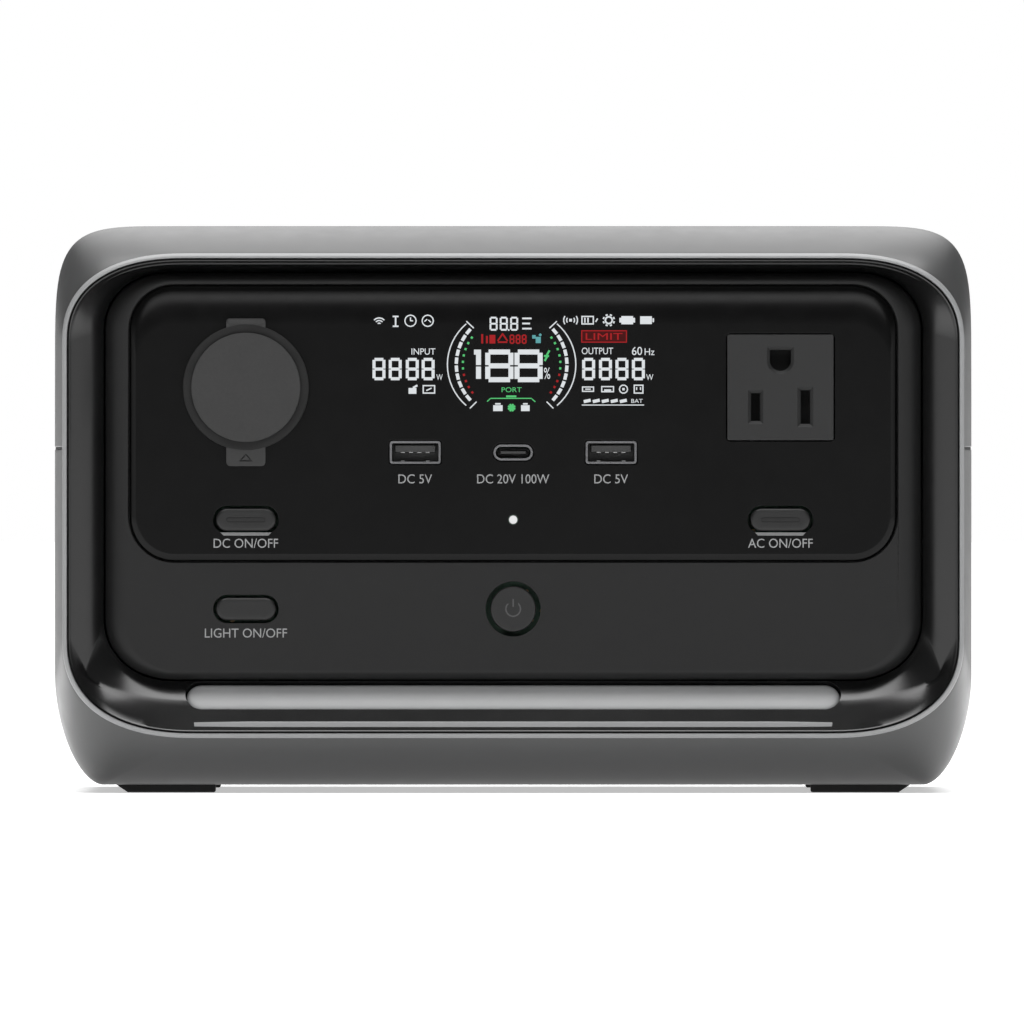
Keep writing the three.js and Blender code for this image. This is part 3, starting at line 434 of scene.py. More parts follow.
class Finish(Tree):
    """A material on the piece's own coordinates."""

    def __init__(self, name):
        self.material = bpy.data.materials.new(name)
        self.material.use_nodes = True
        super().__init__(self.material.node_tree)
        self.shader = self.tree.nodes["Principled BSDF"]
        self.place = self.node("ShaderNodeTexCoord", output="Object")

    def surface(self, **values):
        for name, value in values.items():
            self.feed(self.shader.inputs[name.replace("_", " ")], value)

    def speckle(self, size, detail=2.0, stretch=(1, 1, 1)):
        """Cloudy noise whose spots are about `size` millimetres across."""
        place = self.place
        if stretch != (1, 1, 1):
            place = self.node("ShaderNodeMapping", {}, {"Vector": place, "Scale": stretch})
        sockets = {"Vector": place, "Scale": 1 / (size * MM), "Detail": detail}
        return self.node("ShaderNodeTexNoise", {}, sockets)

    def between(self, low, high, share):
        """A colour between two colours, each given as numbers or as the output of a node."""
        first, second = (value if isinstance(value, Flow) else (*value, 1) for value in (low, high))
        sockets = {0: share, 6: first, 7: second}
        return self.node("ShaderNodeMix", {"data_type": "RGBA"}, sockets, output=2)

    def spread(self, flow, low, high, start=0.3, stop=0.7):
        """Stretches values from start..stop to low..high."""
        sockets = {"Value": flow, "From Min": start, "From Max": stop, "To Min": low, "To Max": high}
        return self.node("ShaderNodeMapRange", {}, sockets)

    def relief(self, height, depth):
        """Bumps `depth` millimetres deep."""
        return self.node("ShaderNodeBump", {}, {"Height": height, "Distance": depth * MM, "Strength": 1.0})


COOL = -0.01  # moulded plastics lean a little to blue


def tint(grey, warmth=0.0):
    """A grey of the given reflectance, a little warm or cool."""
    return (grey * (1 + warmth), grey, grey * (1 - warmth))


def moulded(name, grey, roughness, grain=0.45, depth=0.012, uneven=0.06, specular=0.5):
    """Moulded plastic: an even grain, faintly cloudy colour and gloss that wanders."""
    finish = Finish(name)
    clouds = finish.speckle(38, detail=3)
    marks = finish.speckle(6, detail=4)
    fine = finish.speckle(grain, detail=2)
    colour = finish.between(tint(grey * 0.94, COOL), tint(grey * 1.06, COOL),
                            finish.spread(clouds * 0.6 + fine * 0.4, 0, 1))
    gloss = finish.spread(clouds * 0.5 + marks * 0.5, roughness - uneven, roughness + uneven)
    bumps = finish.relief(fine + marks * 0.15, depth)
    finish.surface(Base_Color=colour, Roughness=gloss, Normal=bumps, Specular_IOR_Level=specular)
    return finish


def rubbery(name, grey, grain=0.7):
    """Rubber: a coarser grain and faint dusty clouds."""
    finish = Finish(name)
    roughness = 0.78
    fine = finish.speckle(grain, detail=4)
    dust = finish.speckle(9, detail=3)
    cloudy = finish.spread(fine * 0.5 + dust * 0.5, 0, 1)
    colour = finish.between(tint(grey * 0.9), tint(grey * 1.12), cloudy)
    gloss = finish.spread(dust, roughness - 0.07, roughness + 0.08)
    bumps = finish.relief(fine, 0.03)
    finish.surface(Base_Color=colour, Roughness=gloss, Normal=bumps, Specular_IOR_Level=0.3)
    return finish


def metallic(name, colour, roughness, stretch=(1, 30, 30)):
    """Drawn metal: fine lines along one direction and faint stains."""
    finish = Finish(name)
    lines = finish.speckle(4, detail=3, stretch=stretch)
    stains = finish.speckle(14, detail=3)
    dull = tuple(value * 0.82 for value in colour)
    shade = finish.between(dull, colour, finish.spread(stains * 0.5 + lines * 0.5, 0, 1))
    gloss = finish.spread(lines * 0.6 + stains * 0.4, roughness - 0.08, roughness + 0.12)
    finish.surface(Base_Color=shade, Roughness=gloss, Metallic=1.0, Normal=finish.relief(lines, 0.004))
    return finish


def laminated(name, board, copper):
    """A circuit board: solder mask over square tracks, with bright pads."""
    finish = Finish(name)
    tracks = finish.node("ShaderNodeTexBrick", {"offset": 0.37, "squash": 1.0},
                         {"Vector": finish.place, "Scale": 160.0, "Mortar Size": 0.05, "Mortar Smooth": 0.2,
                          "Brick Width": 0.9, "Row Height": 0.35}, output="Fac")
    spots = finish.node("ShaderNodeTexVoronoi", {}, {"Vector": finish.place, "Scale": 210.0}, output="Distance")
    pads = finish.spread(spots, 1, 0, 0.12, 0.16)
    weave = finish.speckle(0.9)
    masked = finish.between(board, tuple(value * 1.8 for value in board), tracks)
    shade = finish.between(masked, copper, pads)
    gloss = finish.spread(weave, 0.3, 0.45) + pads * 0.1
    bumps = finish.relief(tracks + pads + weave * 0.2, 0.03)
    finish.surface(Base_Color=shade, Roughness=gloss, Metallic=pads * 0.8, Normal=bumps)
    return finish


def glowing(name, colour, strength, base=0.02):
    """A lit mark: a pale film with light behind it, a little uneven."""
    finish = Finish(name)
    uneven = finish.speckle(3, detail=2)
    low = tuple(value * 0.92 for value in colour)
    finish.surface(Base_Color=(*tint(base), 1), Roughness=finish.spread(uneven, 0.35, 0.5),
                   Emission_Color=finish.between(low, colour, finish.spread(uneven, 0, 1)),
                   Emission_Strength=strength, Normal=finish.relief(uneven, 0.002), Specular_IOR_Level=0.08)
    return finish


case_grey = moulded("case_grey", 0.038, 0.32, grain=0.5, depth=0.004, uneven=0.04)
bezel_black = moulded("bezel_black", 0.004, 0.2, grain=0.8, depth=0.0015, uneven=0.03)
plate_black = moulded("plate_black", 0.0018, 0.2, grain=0.8, depth=0.001, uneven=0.03, specular=0.13)
panel_grey = moulded("panel_grey", 0.0062, 0.5, grain=0.35, depth=0.01, specular=0.22)
key_grey = moulded("key_grey", 0.007, 0.45, grain=0.3, depth=0.008, specular=0.3)
key_bar = moulded("key_bar", 0.006, 0.4, grain=0.3, depth=0.004, specular=0.3)
outlet_grey = moulded("outlet_grey", 0.0145, 0.5, grain=0.35, depth=0.01, specular=0.22)
slot_black = moulded("slot_black", 0.004, 0.7, grain=0.4, depth=0.01)
# Pale grey that stands in for light: painted highlight on the rim bead and on the strip under the light bar.
painted_highlight_pale = moulded("painted_highlight_pale", 0.2, 0.35, grain=0.3, depth=0.002, uneven=0.04)
lens_frost = moulded("lens_frost", 0.3, 0.45, grain=0.25, depth=0.004)
# A darker copy of the cover's rubber: painted shade for the sloping bevel round the cover's face.
cover_rubber = rubbery("cover_rubber", 0.025)
cover_rubber_painted_shade = rubbery("cover_rubber_painted_shade", 0.006)
foot_rubber = rubbery("foot_rubber", 0.018)
grip_rubber = rubbery("grip_rubber", 0.04, grain=1.1)
port_steel = metallic("port_steel", (0.14, 0.14, 0.145), 0.35)
socket_steel = metallic("socket_steel", (0.26, 0.265, 0.27), 0.34, stretch=(30, 1, 30))
# Brass darkened far below its own colour: painted shade for the contacts deep in the outlet slots and the
# socket.
contact_brass = metallic("contact_brass", (0.03, 0.024, 0.014), 0.45)
aluminium = metallic("aluminium", (0.62, 0.63, 0.64), 0.4, stretch=(30, 1, 30))
board_green = laminated("board_green", (0.012, 0.075, 0.035), (0.75, 0.6, 0.35))
board_white = laminated("board_white", (0.6, 0.6, 0.58), (0.85, 0.83, 0.6))
cell_wrap = moulded("cell_wrap", 0.1, 0.35, grain=1.4, depth=0.02)
holder_black = moulded("holder_black", 0.02, 0.6)
core_iron = metallic("core_iron", (0.2, 0.2, 0.21), 0.5, stretch=(1, 1, 12))
can_black = moulded("can_black", 0.015, 0.35)
fan_black = moulded("fan_black", 0.018, 0.5)
# Pale grey for the lines under the upper keys: painted highlight on the lower edges of their openings.
painted_highlight_grey = moulded("painted_highlight_grey", 0.12, 0.4, grain=0.3, depth=0.002)
symbol_print = moulded("symbol_print", 0.035, 0.5, grain=0.4, depth=0.002)
label_print = moulded("label_print", 0.2, 0.5, grain=0.2, depth=0.001)
pad_grey = metallic("pad_grey", (0.3, 0.3, 0.3), 0.4)
tongue_black = moulded("tongue_black", 0.015, 0.4)
lamp_white = glowing("lamp_white", (1.0, 1.0, 1.0), 0.5, base=0.2)
mark_white = glowing("mark_white", (0.9, 0.94, 0.97), 0.8)
mark_green = glowing("mark_green", (0.06, 0.5, 0.14), 1.1)
mark_red = glowing("mark_red", (0.55, 0.012, 0.016), 0.7, base=0.002)
mark_dim_red = glowing("mark_dim_red", (0.17, 0.002, 0.003), 0.35, base=0.001)
mark_cyan = glowing("mark_cyan", (0.09, 0.38, 0.4), 0.9)

# ---- Camera, light and floor ----

VIEW_WIDTH = 261.2  # width of the frame at the front face
LENS = 1000
SENSOR = 36
VIEW_HEIGHT = 71.8


def aim_camera():
    distance = VIEW_WIDTH * LENS / SENSOR
    bpy.ops.object.camera_add(location=(-0.3 * MM, (LIP_FRONT - distance) * MM, VIEW_HEIGHT * MM),
                              rotation=(math.pi / 2, 0, 0))
    camera = bpy.context.object
    camera.name = "front_camera"
    camera.data.lens = LENS
    camera.data.sensor_width = SENSOR
    camera.data.clip_end = 200
    bpy.context.scene.camera = camera


def add_light(name, location, target, size, power, height=None):
    """A soft rectangular light that the camera does not see."""
    bpy.ops.object.light_add(type="AREA", location=location)
    light = bpy.context.object
    light.name = name
    light.data.shape = "RECTANGLE"
    light.data.size = size
    light.data.size_y = height or size
    light.data.energy = power
    light.rotation_euler = (Vector(target) - Vector(location)).to_track_quat("-Z", "Y").to_euler()
    light.visible_camera = False
    return light


def fill_world():
    """A studio that is dark in front, pale behind and bright above, and white where it is seen directly."""
    world = bpy.data.worlds.new("studio")
    bpy.context.scene.world = world
    world.use_nodes = True
    tree = Tree(world.node_tree)
    way = tree.node("ShaderNodeTexCoord", output="Generated")
    split = world.node_tree.nodes.new("ShaderNodeSeparateXYZ")
    tree.feed(split.inputs[0], way)
    depth = Flow(tree, split.outputs["Y"])
    rise = Flow(tree, split.outputs["Z"])
    across = Flow(tree, split.outputs["X"])
    aside = tree.node("ShaderNodeMath", {"operation": "ABSOLUTE"}, {0: across})
    behind = tree.node("ShaderNodeMapRange", {}, {"Value": depth, "From Min": -0.3, "From Max": 0.4,
                                                  "To Min": 0.05, "To Max": 0.12})
    above = tree.node("ShaderNodeMapRange", {}, {"Value": rise + depth * 0.4 - aside * 0.7, "From Min": 0.4,
                                                 "From Max": 0.9, "To Min": 0.0, "To Max": 2.3})
    seen = tree.node("ShaderNodeLightPath", output="Is Camera Ray")
    level = tree.node("ShaderNodeMix", {"data_type": "FLOAT"}, {0: seen, 2: behind + above, 3: 1.0})
    backdrop = world.node_tree.nodes["Background"]
    backdrop.inputs["Color"].default_value = (1, 1, 1, 1)
    tree.feed(backdrop.inputs["Strength"], level)


def add_floor():
    bpy.ops.object.select_all(action="DESELECT")
    bpy.ops.mesh.primitive_plane_add(size=120)
    floor = bpy.context.object
    floor.name = "studio_floor"
    finish = Finish("floor_pale")
    soft = finish.speckle(60, detail=3)
    shade = finish.between((0.88, 0.88, 0.88), (0.9, 0.9, 0.9), finish.spread(soft, 0, 1))
    finish.surface(Base_Color=shade, Roughness=finish.spread(soft, 0.85, 0.95), Emission_Color=(1, 1, 1, 1),
                   Emission_Strength=0.48)
    floor.data.materials.append(finish.material)


# ---- Case, feet and vents ----

FEET = ["foot_front_left", "foot_front_right", "foot_rear_left", "foot_rear_right"]


def case_tube():
    """The whole case as one closed wall: outer skin from the back to the front, then the inner skin."""
    rear_steps = 6
    nose_steps = 16
    skin_shapes = []
    for i in range(rear_steps + 1):
        share = 1 - i / rear_steps
        skin_shapes.append((CASE_BACK - REAR_ROLL * (1 - share), grown(BODY, -3 * share ** 2)))
    for i in range(nose_steps + 1):
        share = i / nose_steps
        skin_shapes.append((CASE_FRONT + NOSE * (1 - share), mixed(BODY, RIM, share ** NOSE_CURVE)))
    inner = [(depth, grown(shape, -WALL)) for depth, shape in reversed(skin_shapes)]
    return lofted("case_tube", [*skin_shapes, *inner, skin_shapes[0]], hoop=True)


def seam_gasket():
    """A dark cord in the seam between the case halves, just below their surface."""
    sunk = 0.15
    steps = 8
    outer = [(CASE_BACK - 1, grown(BODY, -3.2)), (CASE_BACK - REAR_ROLL, grown(BODY, -sunk))]
    for i in range(steps + 1):
        share = i / steps
        depth = CASE_FRONT + 1 + (NOSE - 1) * (1 - share)
        outer.append((depth, grown(mixed(BODY, RIM, share ** NOSE_CURVE), -sunk)))
    inner = [(depth, grown(shape, -1.5)) for depth, shape in reversed(outer)]
    gasket = lofted("seam_gasket", [*outer, *inner, outer[0]], hoop=True)
    play = 0.02
    halved(gasket, SEAM_BOTTOM + play, True)
    halved(gasket, SEAM_TOP - play, False)
    return closed(gasket)


def halved(tube, height, keep_upper):
    """Cuts a tube at a height, keeps one half and closes the cut walls."""
    edit(tube)
    bpy.ops.mesh.select_all(action="SELECT")
    bpy.ops.mesh.bisect(plane_co=(0, 0, height * MM), plane_no=(0, 0, 1), use_fill=True,
                        clear_inner=keep_upper, clear_outer=not keep_upper)
    leave()
    return tube


def make_case():
    """Both halves of the case, with openings for the vents and the feet, and the cord between them."""
    tube = case_tube()
    upper = closed(halved(copied(tube, "case_upper"), SEAM_TOP, True))
    lower = closed(halved(copied(tube, "case_lower"), SEAM_BOTTOM, False))
    bpy.data.objects.remove(tube)
    gap = 0.3
    cutters = []
    for side_name, _ in SIDES:
        low, high = corners("side_vent_" + side_name)
        cutters.append(block("vent_opening", [low[0] - 4, low[1] - gap, low[2] - gap],
                             [high[0] + 4, high[1] + gap, high[2] + gap]))
    for foot in FEET:
        low, high = corners(foot)
        cutters.append(block("foot_pocket", [low[0] - gap, low[1] - gap, -1],
                             [high[0] + gap, high[1] + gap, high[2] + gap]))
    carve(lower, *cutters)
    soften(upper, 0.3, 2, 55)
    soften(lower, 0.3, 2, 55)
    complete(seam_gasket(), slot_black)
    complete(upper, case_grey, stands_for="upper_shell", angle=30)
    complete(lower, case_grey, stands_for="lower_shell", angle=30)


def make_feet():
    for foot in FEET:
        complete(refined(foot, 0.35), foot_rubber, stands_for=foot)


def make_vents():
    for side_name, _ in SIDES:
        node = "side_vent_" + side_name
        complete(refined(node, 0.5), fan_black, stands_for=node)


# ---- Bezel, light bar and panel ----


LENS_HEIGHT = 8
LENS_GAP = 0.3


def make_bezel():
    """The glossy ring that slopes in from the rim, with a pale bead round its edge whose colour is a painted
    highlight.
    """
    plug = grown(RIM, -WALL - 0.4)
    bead_profile = ((1.95, 0.02), (1.2, 0.02), (0.75, 0.1), (0.3, 0.35), (0.05, 0.7), (0, 0.9), (0.1, 1.12),
                    (0.35, 1.22), (1.6, 1.22), (1.95, 0.8), (1.95, 0.02))
    bead_sections = [(LIP_FRONT + depth, grown(RIM, -inset)) for depth, inset in bead_profile]
    # The bead's pale colour is a painted highlight along the rim.
    bead = lofted("rim_highlight_bead", bead_sections, hoop=True)
    complete(bead, painted_highlight_pale)
    sections = [(PANEL_BACK, plug), (LIP_FRONT + 1.75, plug), (LIP_FRONT + 1.7, grown(RIM, -1.35)),
                (LIP_FRONT + 0.9, grown(RIM, -1.35)), (LIP_FRONT + 0.8, grown(RIM, -1.55)),
                (LIP_FRONT + 0.55, grown(RIM, -1.6)), (LIP_FRONT + 0.35, grown(RIM, -1.75)),
                (LIP_FRONT + 0.45, grown(RIM, -1.95))]
    start = (LIP_FRONT + 0.8, grown(RIM, -2.2))
    for near, far, steps in ((start, CREASE, 5), (CREASE, (MOUTH_DEPTH, MOUTH), 8)):
        for i in range(steps):
            share = i / steps
            depth = near[0] + (far[0] - near[0]) * share
            sections.append((depth, mixed(near[1], far[1], share)))
    sections += [(MOUTH_DEPTH, MOUTH), (VALLEY + 0.4, MOUTH), (PANEL_BACK, MOUTH), (PANEL_BACK, plug)]
    bezel = lofted("bezel", sections, hoop=True)
    low, high = corners("light_bar_lens")
    width, height = high[0] - low[0] + 2 * LENS_GAP, LENS_HEIGHT + 2 * LENS_GAP
    carve(bezel, leaned(tile("lens_slot", 0, 0, width, height, -6, 20, height / 2 - 0.01, 16)))
    complete(bezel, bezel_black, stands_for="front_bezel", angle=30)


LENS_LEAN = math.atan2(VALLEY - LIP_FRONT, MOUTH[2] - RING[2])
LENS_SHARE = 0.69
LENS_PLACE = (LIP_FRONT + (VALLEY - LIP_FRONT) * LENS_SHARE, RING[2] + (MOUTH[2] - RING[2]) * LENS_SHARE)


def leaned(obj, lean=LENS_LEAN, place=LENS_PLACE):
    """Leans a piece drawn upright at the origin back, with its middle at a depth and a height."""
    obj.rotation_euler = (-lean, 0, 0)
    obj.location = (0, place[0] * MM, place[1] * MM)
    return settle(obj)


def make_light_bar():
    """The frosted lens in the lower slope of the bezel, and a pale strip under it that is a painted highlight.
    """
    low, high = corners("light_bar_lens")
    dome = [(3, 0), (0.75, 0), (0.35, 0.12), (0.05, 0.45), (-0.12, 1.0), (-0.2, 1.8), (-0.22, 2.8)]
    lens = pill("light_bar", 0, 0, high[0] - low[0], LENS_HEIGHT, dome, steps=16)
    complete(leaned(lens), lens_frost, stands_for="light_bar_lens")
    dress(board_white, "light_bar_board")
    highlight_strip = skin("light_bar_highlight_strip", [(1.0, highlight_strip_points(0)), (-0.12, highlight_strip_points(0)), (-0.2, highlight_strip_points(0.25))])
    complete(leaned(highlight_strip, HIGHLIGHT_STRIP_LEAN, (LIP_FRONT + 1.5, HIGHLIGHT_STRIP_ROW)), painted_highlight_pale)


def highlight_strip_points(inset):
    """A long thin strip of painted highlight that tapers to a point at both ends, below the light bar."""
    half = 84.5 - inset
    thick = 0.85 - inset
    flank = 68
    right = [(half, 0), (half - 3, thick * 0.75), (flank, thick)]
    upper = [*right, *[(-x, z) for x, z in reversed(right)]]
    lower = [(x, -z) for x, z in reversed(upper[1:-1])]
    return upper + lower


def opening(name, x, row, width, height, corner, segments):
    """A cutter that passes through the faceplate and the panel."""
    return tile(name, x, row, width, height, *OPENING_DEPTH, corner, segments)


def round_opening(name, x, row, radius, count=64):
    front, back = OPENING_DEPTH
    return turned(name, [(back, radius), (front, radius)], x, row, count)


def key_opening(x, row):
    width, height = KEY_WIDTH + 2 * KEY_GAP, KEY_HEIGHT + 2 * KEY_GAP
    return opening("slot", x, row, width, height, height / 2 - 0.01, 12)


def port_opening(x, port, corner, segments):
    width, height, _ = port
    return opening("usb_hole", x, USB_ROW, width + 2 * PORT_GAP, height + 2 * PORT_GAP, corner, segments)


def plate_cutters():
    """What passes through both the faceplate and the panel."""
    return [key_opening(-COLUMN, UPPER_ROW), key_opening(COLUMN, UPPER_ROW),
            round_opening("socket_hole", -COLUMN, SOCKET_ROW, 13.4),
            opening("outlet_hole", COLUMN, SOCKET_ROW, OUTLET_WIDTH + 2 * PORT_GAP,
                    OUTLET_HEIGHT + 2 * PORT_GAP, 1.2, 4),
            port_opening(-USB_PITCH, USB_A, 0.9, 4), port_opening(USB_PITCH, USB_A, 0.9, 4),
            port_opening(0, USB_C, 2.34, 8), round_opening("led_hole", 0, UPPER_ROW, 1.3, 32)]


def plate_points(inset, top_drop=0.0):
    """The faceplate's outline, moved in all round and lowered at the top."""
    bend = (11.4 - inset, 11.4 - inset, 2)
    top, bottom = PLATE_HIGH[2] - inset - top_drop, PLATE_LOW[2] + inset
    return ring(outline(PLATE_HIGH[0] - inset, top, bottom, bend, bend), 12)


def make_panel():
    """The pillowed panel, hollow behind, and the glossy plate that lies in its pocket."""
    steps = 9
    sections = [(PANEL_BACK, BLOCK)]
    for i in range(steps + 1):
        angle = i / steps * math.pi / 2
        depth = VALLEY + (PANEL_FACE - VALLEY) * math.sin(angle)
        sections.append((depth, mixed(BLOCK, FACE, 1 - math.cos(angle))))
    panel = lofted("panel_face", sections)
    wall = 3
    carve(panel, lofted("panel_hollow", [(PANEL_BACK + 2, grown(BLOCK, -wall)), (VALLEY, grown(BLOCK, -wall)),
                                         (PANEL_FACE + wall, grown(FACE, -wall))]))
    pocket = skin("plate_pocket", [(PLATE_BACK + PORT_GAP, plate_points(-PORT_GAP)),
                                   (OPENING_DEPTH[0], plate_points(-PORT_GAP))])
    carve(panel, pocket)
    carve(panel, *plate_cutters(), key_opening(-COLUMN, LOWER_ROW),
          round_opening("power_hole", 0, LOWER_ROW, POWER_RADIUS + 1.2))
    soften(panel, 0.25, 2, 60)
    complete(panel, panel_grey, stands_for="front_panel", angle=30)

    # Each step of the plate's rolled edge: depth, inset all round, and how much lower its top lies.
    roll = ((PLATE_BACK - PLATE_FACE, 0, 0), (1.3, 0, 0), (0.95, 0.15, 0.5), (0.65, 0.4, 1.3),
            (0.36, 0.8, 2.6), (0.15, 1.2, 4.2), (0.04, 1.6, 6.2), (0, 2.0, 8.0))
    plate = skin("gloss_plate", [(PLATE_FACE + depth, plate_points(inset, drop))
                                 for depth, inset, drop in roll])
    carve(plate, *plate_cutters())
    soften(plate, 0.15, 2, 60)
    complete(plate, plate_black, stands_for="faceplate", angle=30)
    dress(plate_black, "display_module")


# ---- Keys, lamp and socket ----

STEM_RADIUS = 1.6
KEY_DEPTH = 4.2


def make_key(name, x, row, face, barred):
    """A pill-shaped key with a stem to the board, and perhaps a bar sunk in its face."""
    front = face - KEY_RISE
    cap = pill(name + "_cap", x, row, KEY_WIDTH, KEY_HEIGHT,
               [(front + KEY_DEPTH, 0), (front + 0.75, 0), (front + 0.4, 0.1), (front + 0.15, 0.35),
                (front + 0.03, 0.75), (front, 1.3)])
    if barred:
        carve(cap, pill("key_groove", x, row, 10, 1.3, [(front + 0.35, 0), (front - 1, 0)]))
        sunk = [(front + 0.6, 0), (front + 0.25, 0), (front + 0.2, 0.1)]
        insert = pill(name + "_bar", x, row, 9.7, 1.0, sunk)
        complete(insert, key_bar, body=name)
    stem = turned("key_stem", [(corners(name)[1][1], STEM_RADIUS), (front + 3.8, STEM_RADIUS)], x, row, 24)
    carve(cap, stem, operation="UNION")
    complete(cap, key_grey, body=name, stands_for=name)


def make_keys():
    """The three oblong keys, with a pale line of painted highlight under the upper two."""
    make_key("dc_button", -COLUMN, UPPER_ROW, PLATE_FACE, True)
    make_key("ac_button", COLUMN, UPPER_ROW, PLATE_FACE, True)
    make_key("light_button", -COLUMN, LOWER_ROW, PANEL_FACE, False)
    # Under each upper key, a thin pale strip whose colour is a painted highlight on the lower edge of its
    # opening.
    for name, x in (("dc_highlight_line", -COLUMN), ("ac_highlight_line", COLUMN)):
        edge = UPPER_ROW - 3.7
        upper, lower = edge + 0.45, edge - 0.35
        points = [(x + 6.5, upper), (x - 6.5, upper), (x - 5.7, lower), (x + 5.7, lower)]
        highlight_strip = skin(name, [(PLATE_FACE + 0.1, points), (PLATE_FACE - 0.08, points)])
        complete(highlight_strip, painted_highlight_grey)


def make_power_key():
    """The round key, with the ring and the tick of its sign printed on it."""
    front = PANEL_FACE - KEY_RISE
    _, high = corners("power_button")
    power = turned("power_cap", [(high[1], STEM_RADIUS), (front + KEY_DEPTH, STEM_RADIUS),
                                 (front + KEY_DEPTH, POWER_RADIUS), (front + 0.5, POWER_RADIUS),
                                 (front + 0.15, 5.62), (front, 5.25)], 0, LOWER_ROW)
    complete(power, key_grey, body="power_button", stands_for="power_button")
    steps = 24
    gap = 38  # half the opening of the ring, in degrees
    turns = [math.radians(90 + gap + (360 - 2 * gap) * i / steps) for i in range(steps + 1)]
    outer = [(2.05 * math.cos(turn), LOWER_ROW + 2.05 * math.sin(turn)) for turn in turns]
    inner = [(1.7 * math.cos(turn), LOWER_ROW + 1.7 * math.sin(turn)) for turn in reversed(turns)]
    symbol = skin("power_symbol", [(front + 0.05, outer + inner), (front - FILM, outer + inner)])
    tick = tile("power_tick", 0, LOWER_ROW + 1.55, 0.36, 2.0, front - FILM, front + 0.05)
    complete(joined(symbol, tick), symbol_print, body="power_button")


def make_status_lamp():
    low, high = corners("status_light_pipe")
    pipe = turned("status_lamp", [(high[1], 1.08), (low[1] + 0.2, 1.08), (low[1] + 0.05, 1.0), (low[1], 0.7)],
                  0, UPPER_ROW, 32)
    complete(pipe, lamp_white, stands_for="status_light_pipe")


def make_socket():
    low, high = corners("car_socket_barrel")
    bore, outer, contact_hole, floor = 10.5, 13.1, 3.3, 2.6
    profile = [(high[1], contact_hole), (high[1], outer), (low[1] + 0.3, outer), (low[1], outer - 0.3),
               (low[1], bore + 0.5), (low[1] + 0.5, bore), (high[1] - floor, bore),
               (high[1] - floor, contact_hole), (high[1], contact_hole)]
    barrel = turned("socket_barrel", profile, -COLUMN, SOCKET_ROW, 72, hoop=True)
    complete(barrel, socket_steel, stands_for="car_socket_barrel")
    # The contact takes brass darkened as painted shade.
    dress(contact_brass, "car_socket_contact")


def strap_arrow(step):
    """The outline of an arrow in the pull tab, as a cutter."""
    groove, core = [
        [(-COLUMN - reach, SOCKET_ROW + base), (-COLUMN + reach, SOCKET_ROW + base),
         (-COLUMN + tip, SOCKET_ROW + top), (-COLUMN - tip, SOCKET_ROW + top)]
        for reach, base, tip, top in ((1.75, -18.9, 0.05, -16.9), (1.15, -18.6, 0.04, -17.3))]
    arrow = skin("strap_arrow", [(step + 0.75, groove), (step - 1, groove)])
    return carve(arrow, skin("arrow_core", [(step + 2, core), (step - 2, core)]))


def make_cover():
    """The socket's round cover: a rim, a raised face, a strap with its roll and pull tab, and a plug behind."""
    low, high = corners("car_port_cover")
    front = low[1]
    rest = PLATE_FACE - 0.3
    step = rest - 1.8
    radius, face_radius = 16.1, 13.95
    disc = turned("cover_disc", [(rest, radius - 0.3), (rest - 0.3, radius), (step + 0.45, radius),
                                 (step + 0.12, radius - 0.15), (step, radius - 0.5), (step, face_radius + 0.2),
                                 (step + 0.2, face_radius - 0.15)], -COLUMN, SOCKET_ROW, 96)
    # The rim takes the darker copy of the cover's rubber, painted shade for its bevel.
    complete(disc, cover_rubber_painted_shade, body="car_port_cover")
    face = turned("cover_face", [(step + 0.5, face_radius - 0.25), (front + 0.3, face_radius),
                                 (front + 0.08, face_radius - 0.15), (front, face_radius - 0.5)],
                  -COLUMN, SOCKET_ROW, 96)
    tab_low = SOCKET_ROW - radius - 4
    roll_radius = 0.9
    strap_width = 10
    hinge = high[2] - roll_radius
    strap = tile("cover_strap", -COLUMN, (tab_low + hinge) / 2, strap_width, hinge - tab_low, step + 0.25,
                 rest - 0.05, 1.1, 6, test=lambda at: at.z < SOCKET_ROW)
    carve(strap, turned("strap_cut", [(rest + 1, 15.4), (step - 1, 15.4)], -COLUMN, SOCKET_ROW, 96))
    carve(strap, strap_arrow(step))
    soften(strap, 0.2, 2, 60)
    bpy.ops.object.select_all(action="DESELECT")
    bpy.ops.mesh.primitive_cylinder_add(vertices=32, radius=roll_radius * MM, depth=strap_width * MM,
                                        location=(-COLUMN * MM, (step + rest) / 2 * MM, hinge * MM),
                                        rotation=(0, math.pi / 2, 0))
    roll = soften(settle(bpy.context.object), roll_radius - 0.05, 5, 60)
    inside, outside, tip = 8.5, 10.1, rest + 3
    root = rest - 0.2
    plug = turned("cover_plug", [(tip, inside), (tip, outside - 0.3), (tip - 0.3, outside), (root, outside),
                                 (root, inside), (tip, inside)], -COLUMN, SOCKET_ROW, 64, hoop=True)
    complete(joined(face, strap, roll, plug), cover_rubber, body="car_port_cover",
             stands_for="car_port_cover")


# ---- Outlets and other ports ----


def outlet_block():
    """An outlet facing the front, with its face at the origin's depth and its middle at the origin."""
    outlet = tile("outlet", 0, 0, OUTLET_WIDTH, OUTLET_HEIGHT, 0, OUTLET_DEPTH, 0.45, 4)
    soften(outlet, 0.3, 3, 60)
    lead = 0.8  # depth of the slanted lead into a slot
    floor = OUTLET_DEPTH - 1
    blade, blade_row, ground_row = 6.35, -5, 6.9
    left = flared(tile("blade_slot", -blade, blade_row, 2.35, 7.1, lead, floor), lead, lead, 0.8)
    right = flared(tile("blade_slot", blade, blade_row, 2.4, 8.6, lead, floor), lead, lead, 0.85)
    ground = tile("ground_slot", 0, ground_row, 5.4, 5.4, lead, floor, 2.69, 10,
                  test=lambda at: at.z < ground_row)
    return carve(outlet, left, right, flared(ground, lead, lead, 0.8))


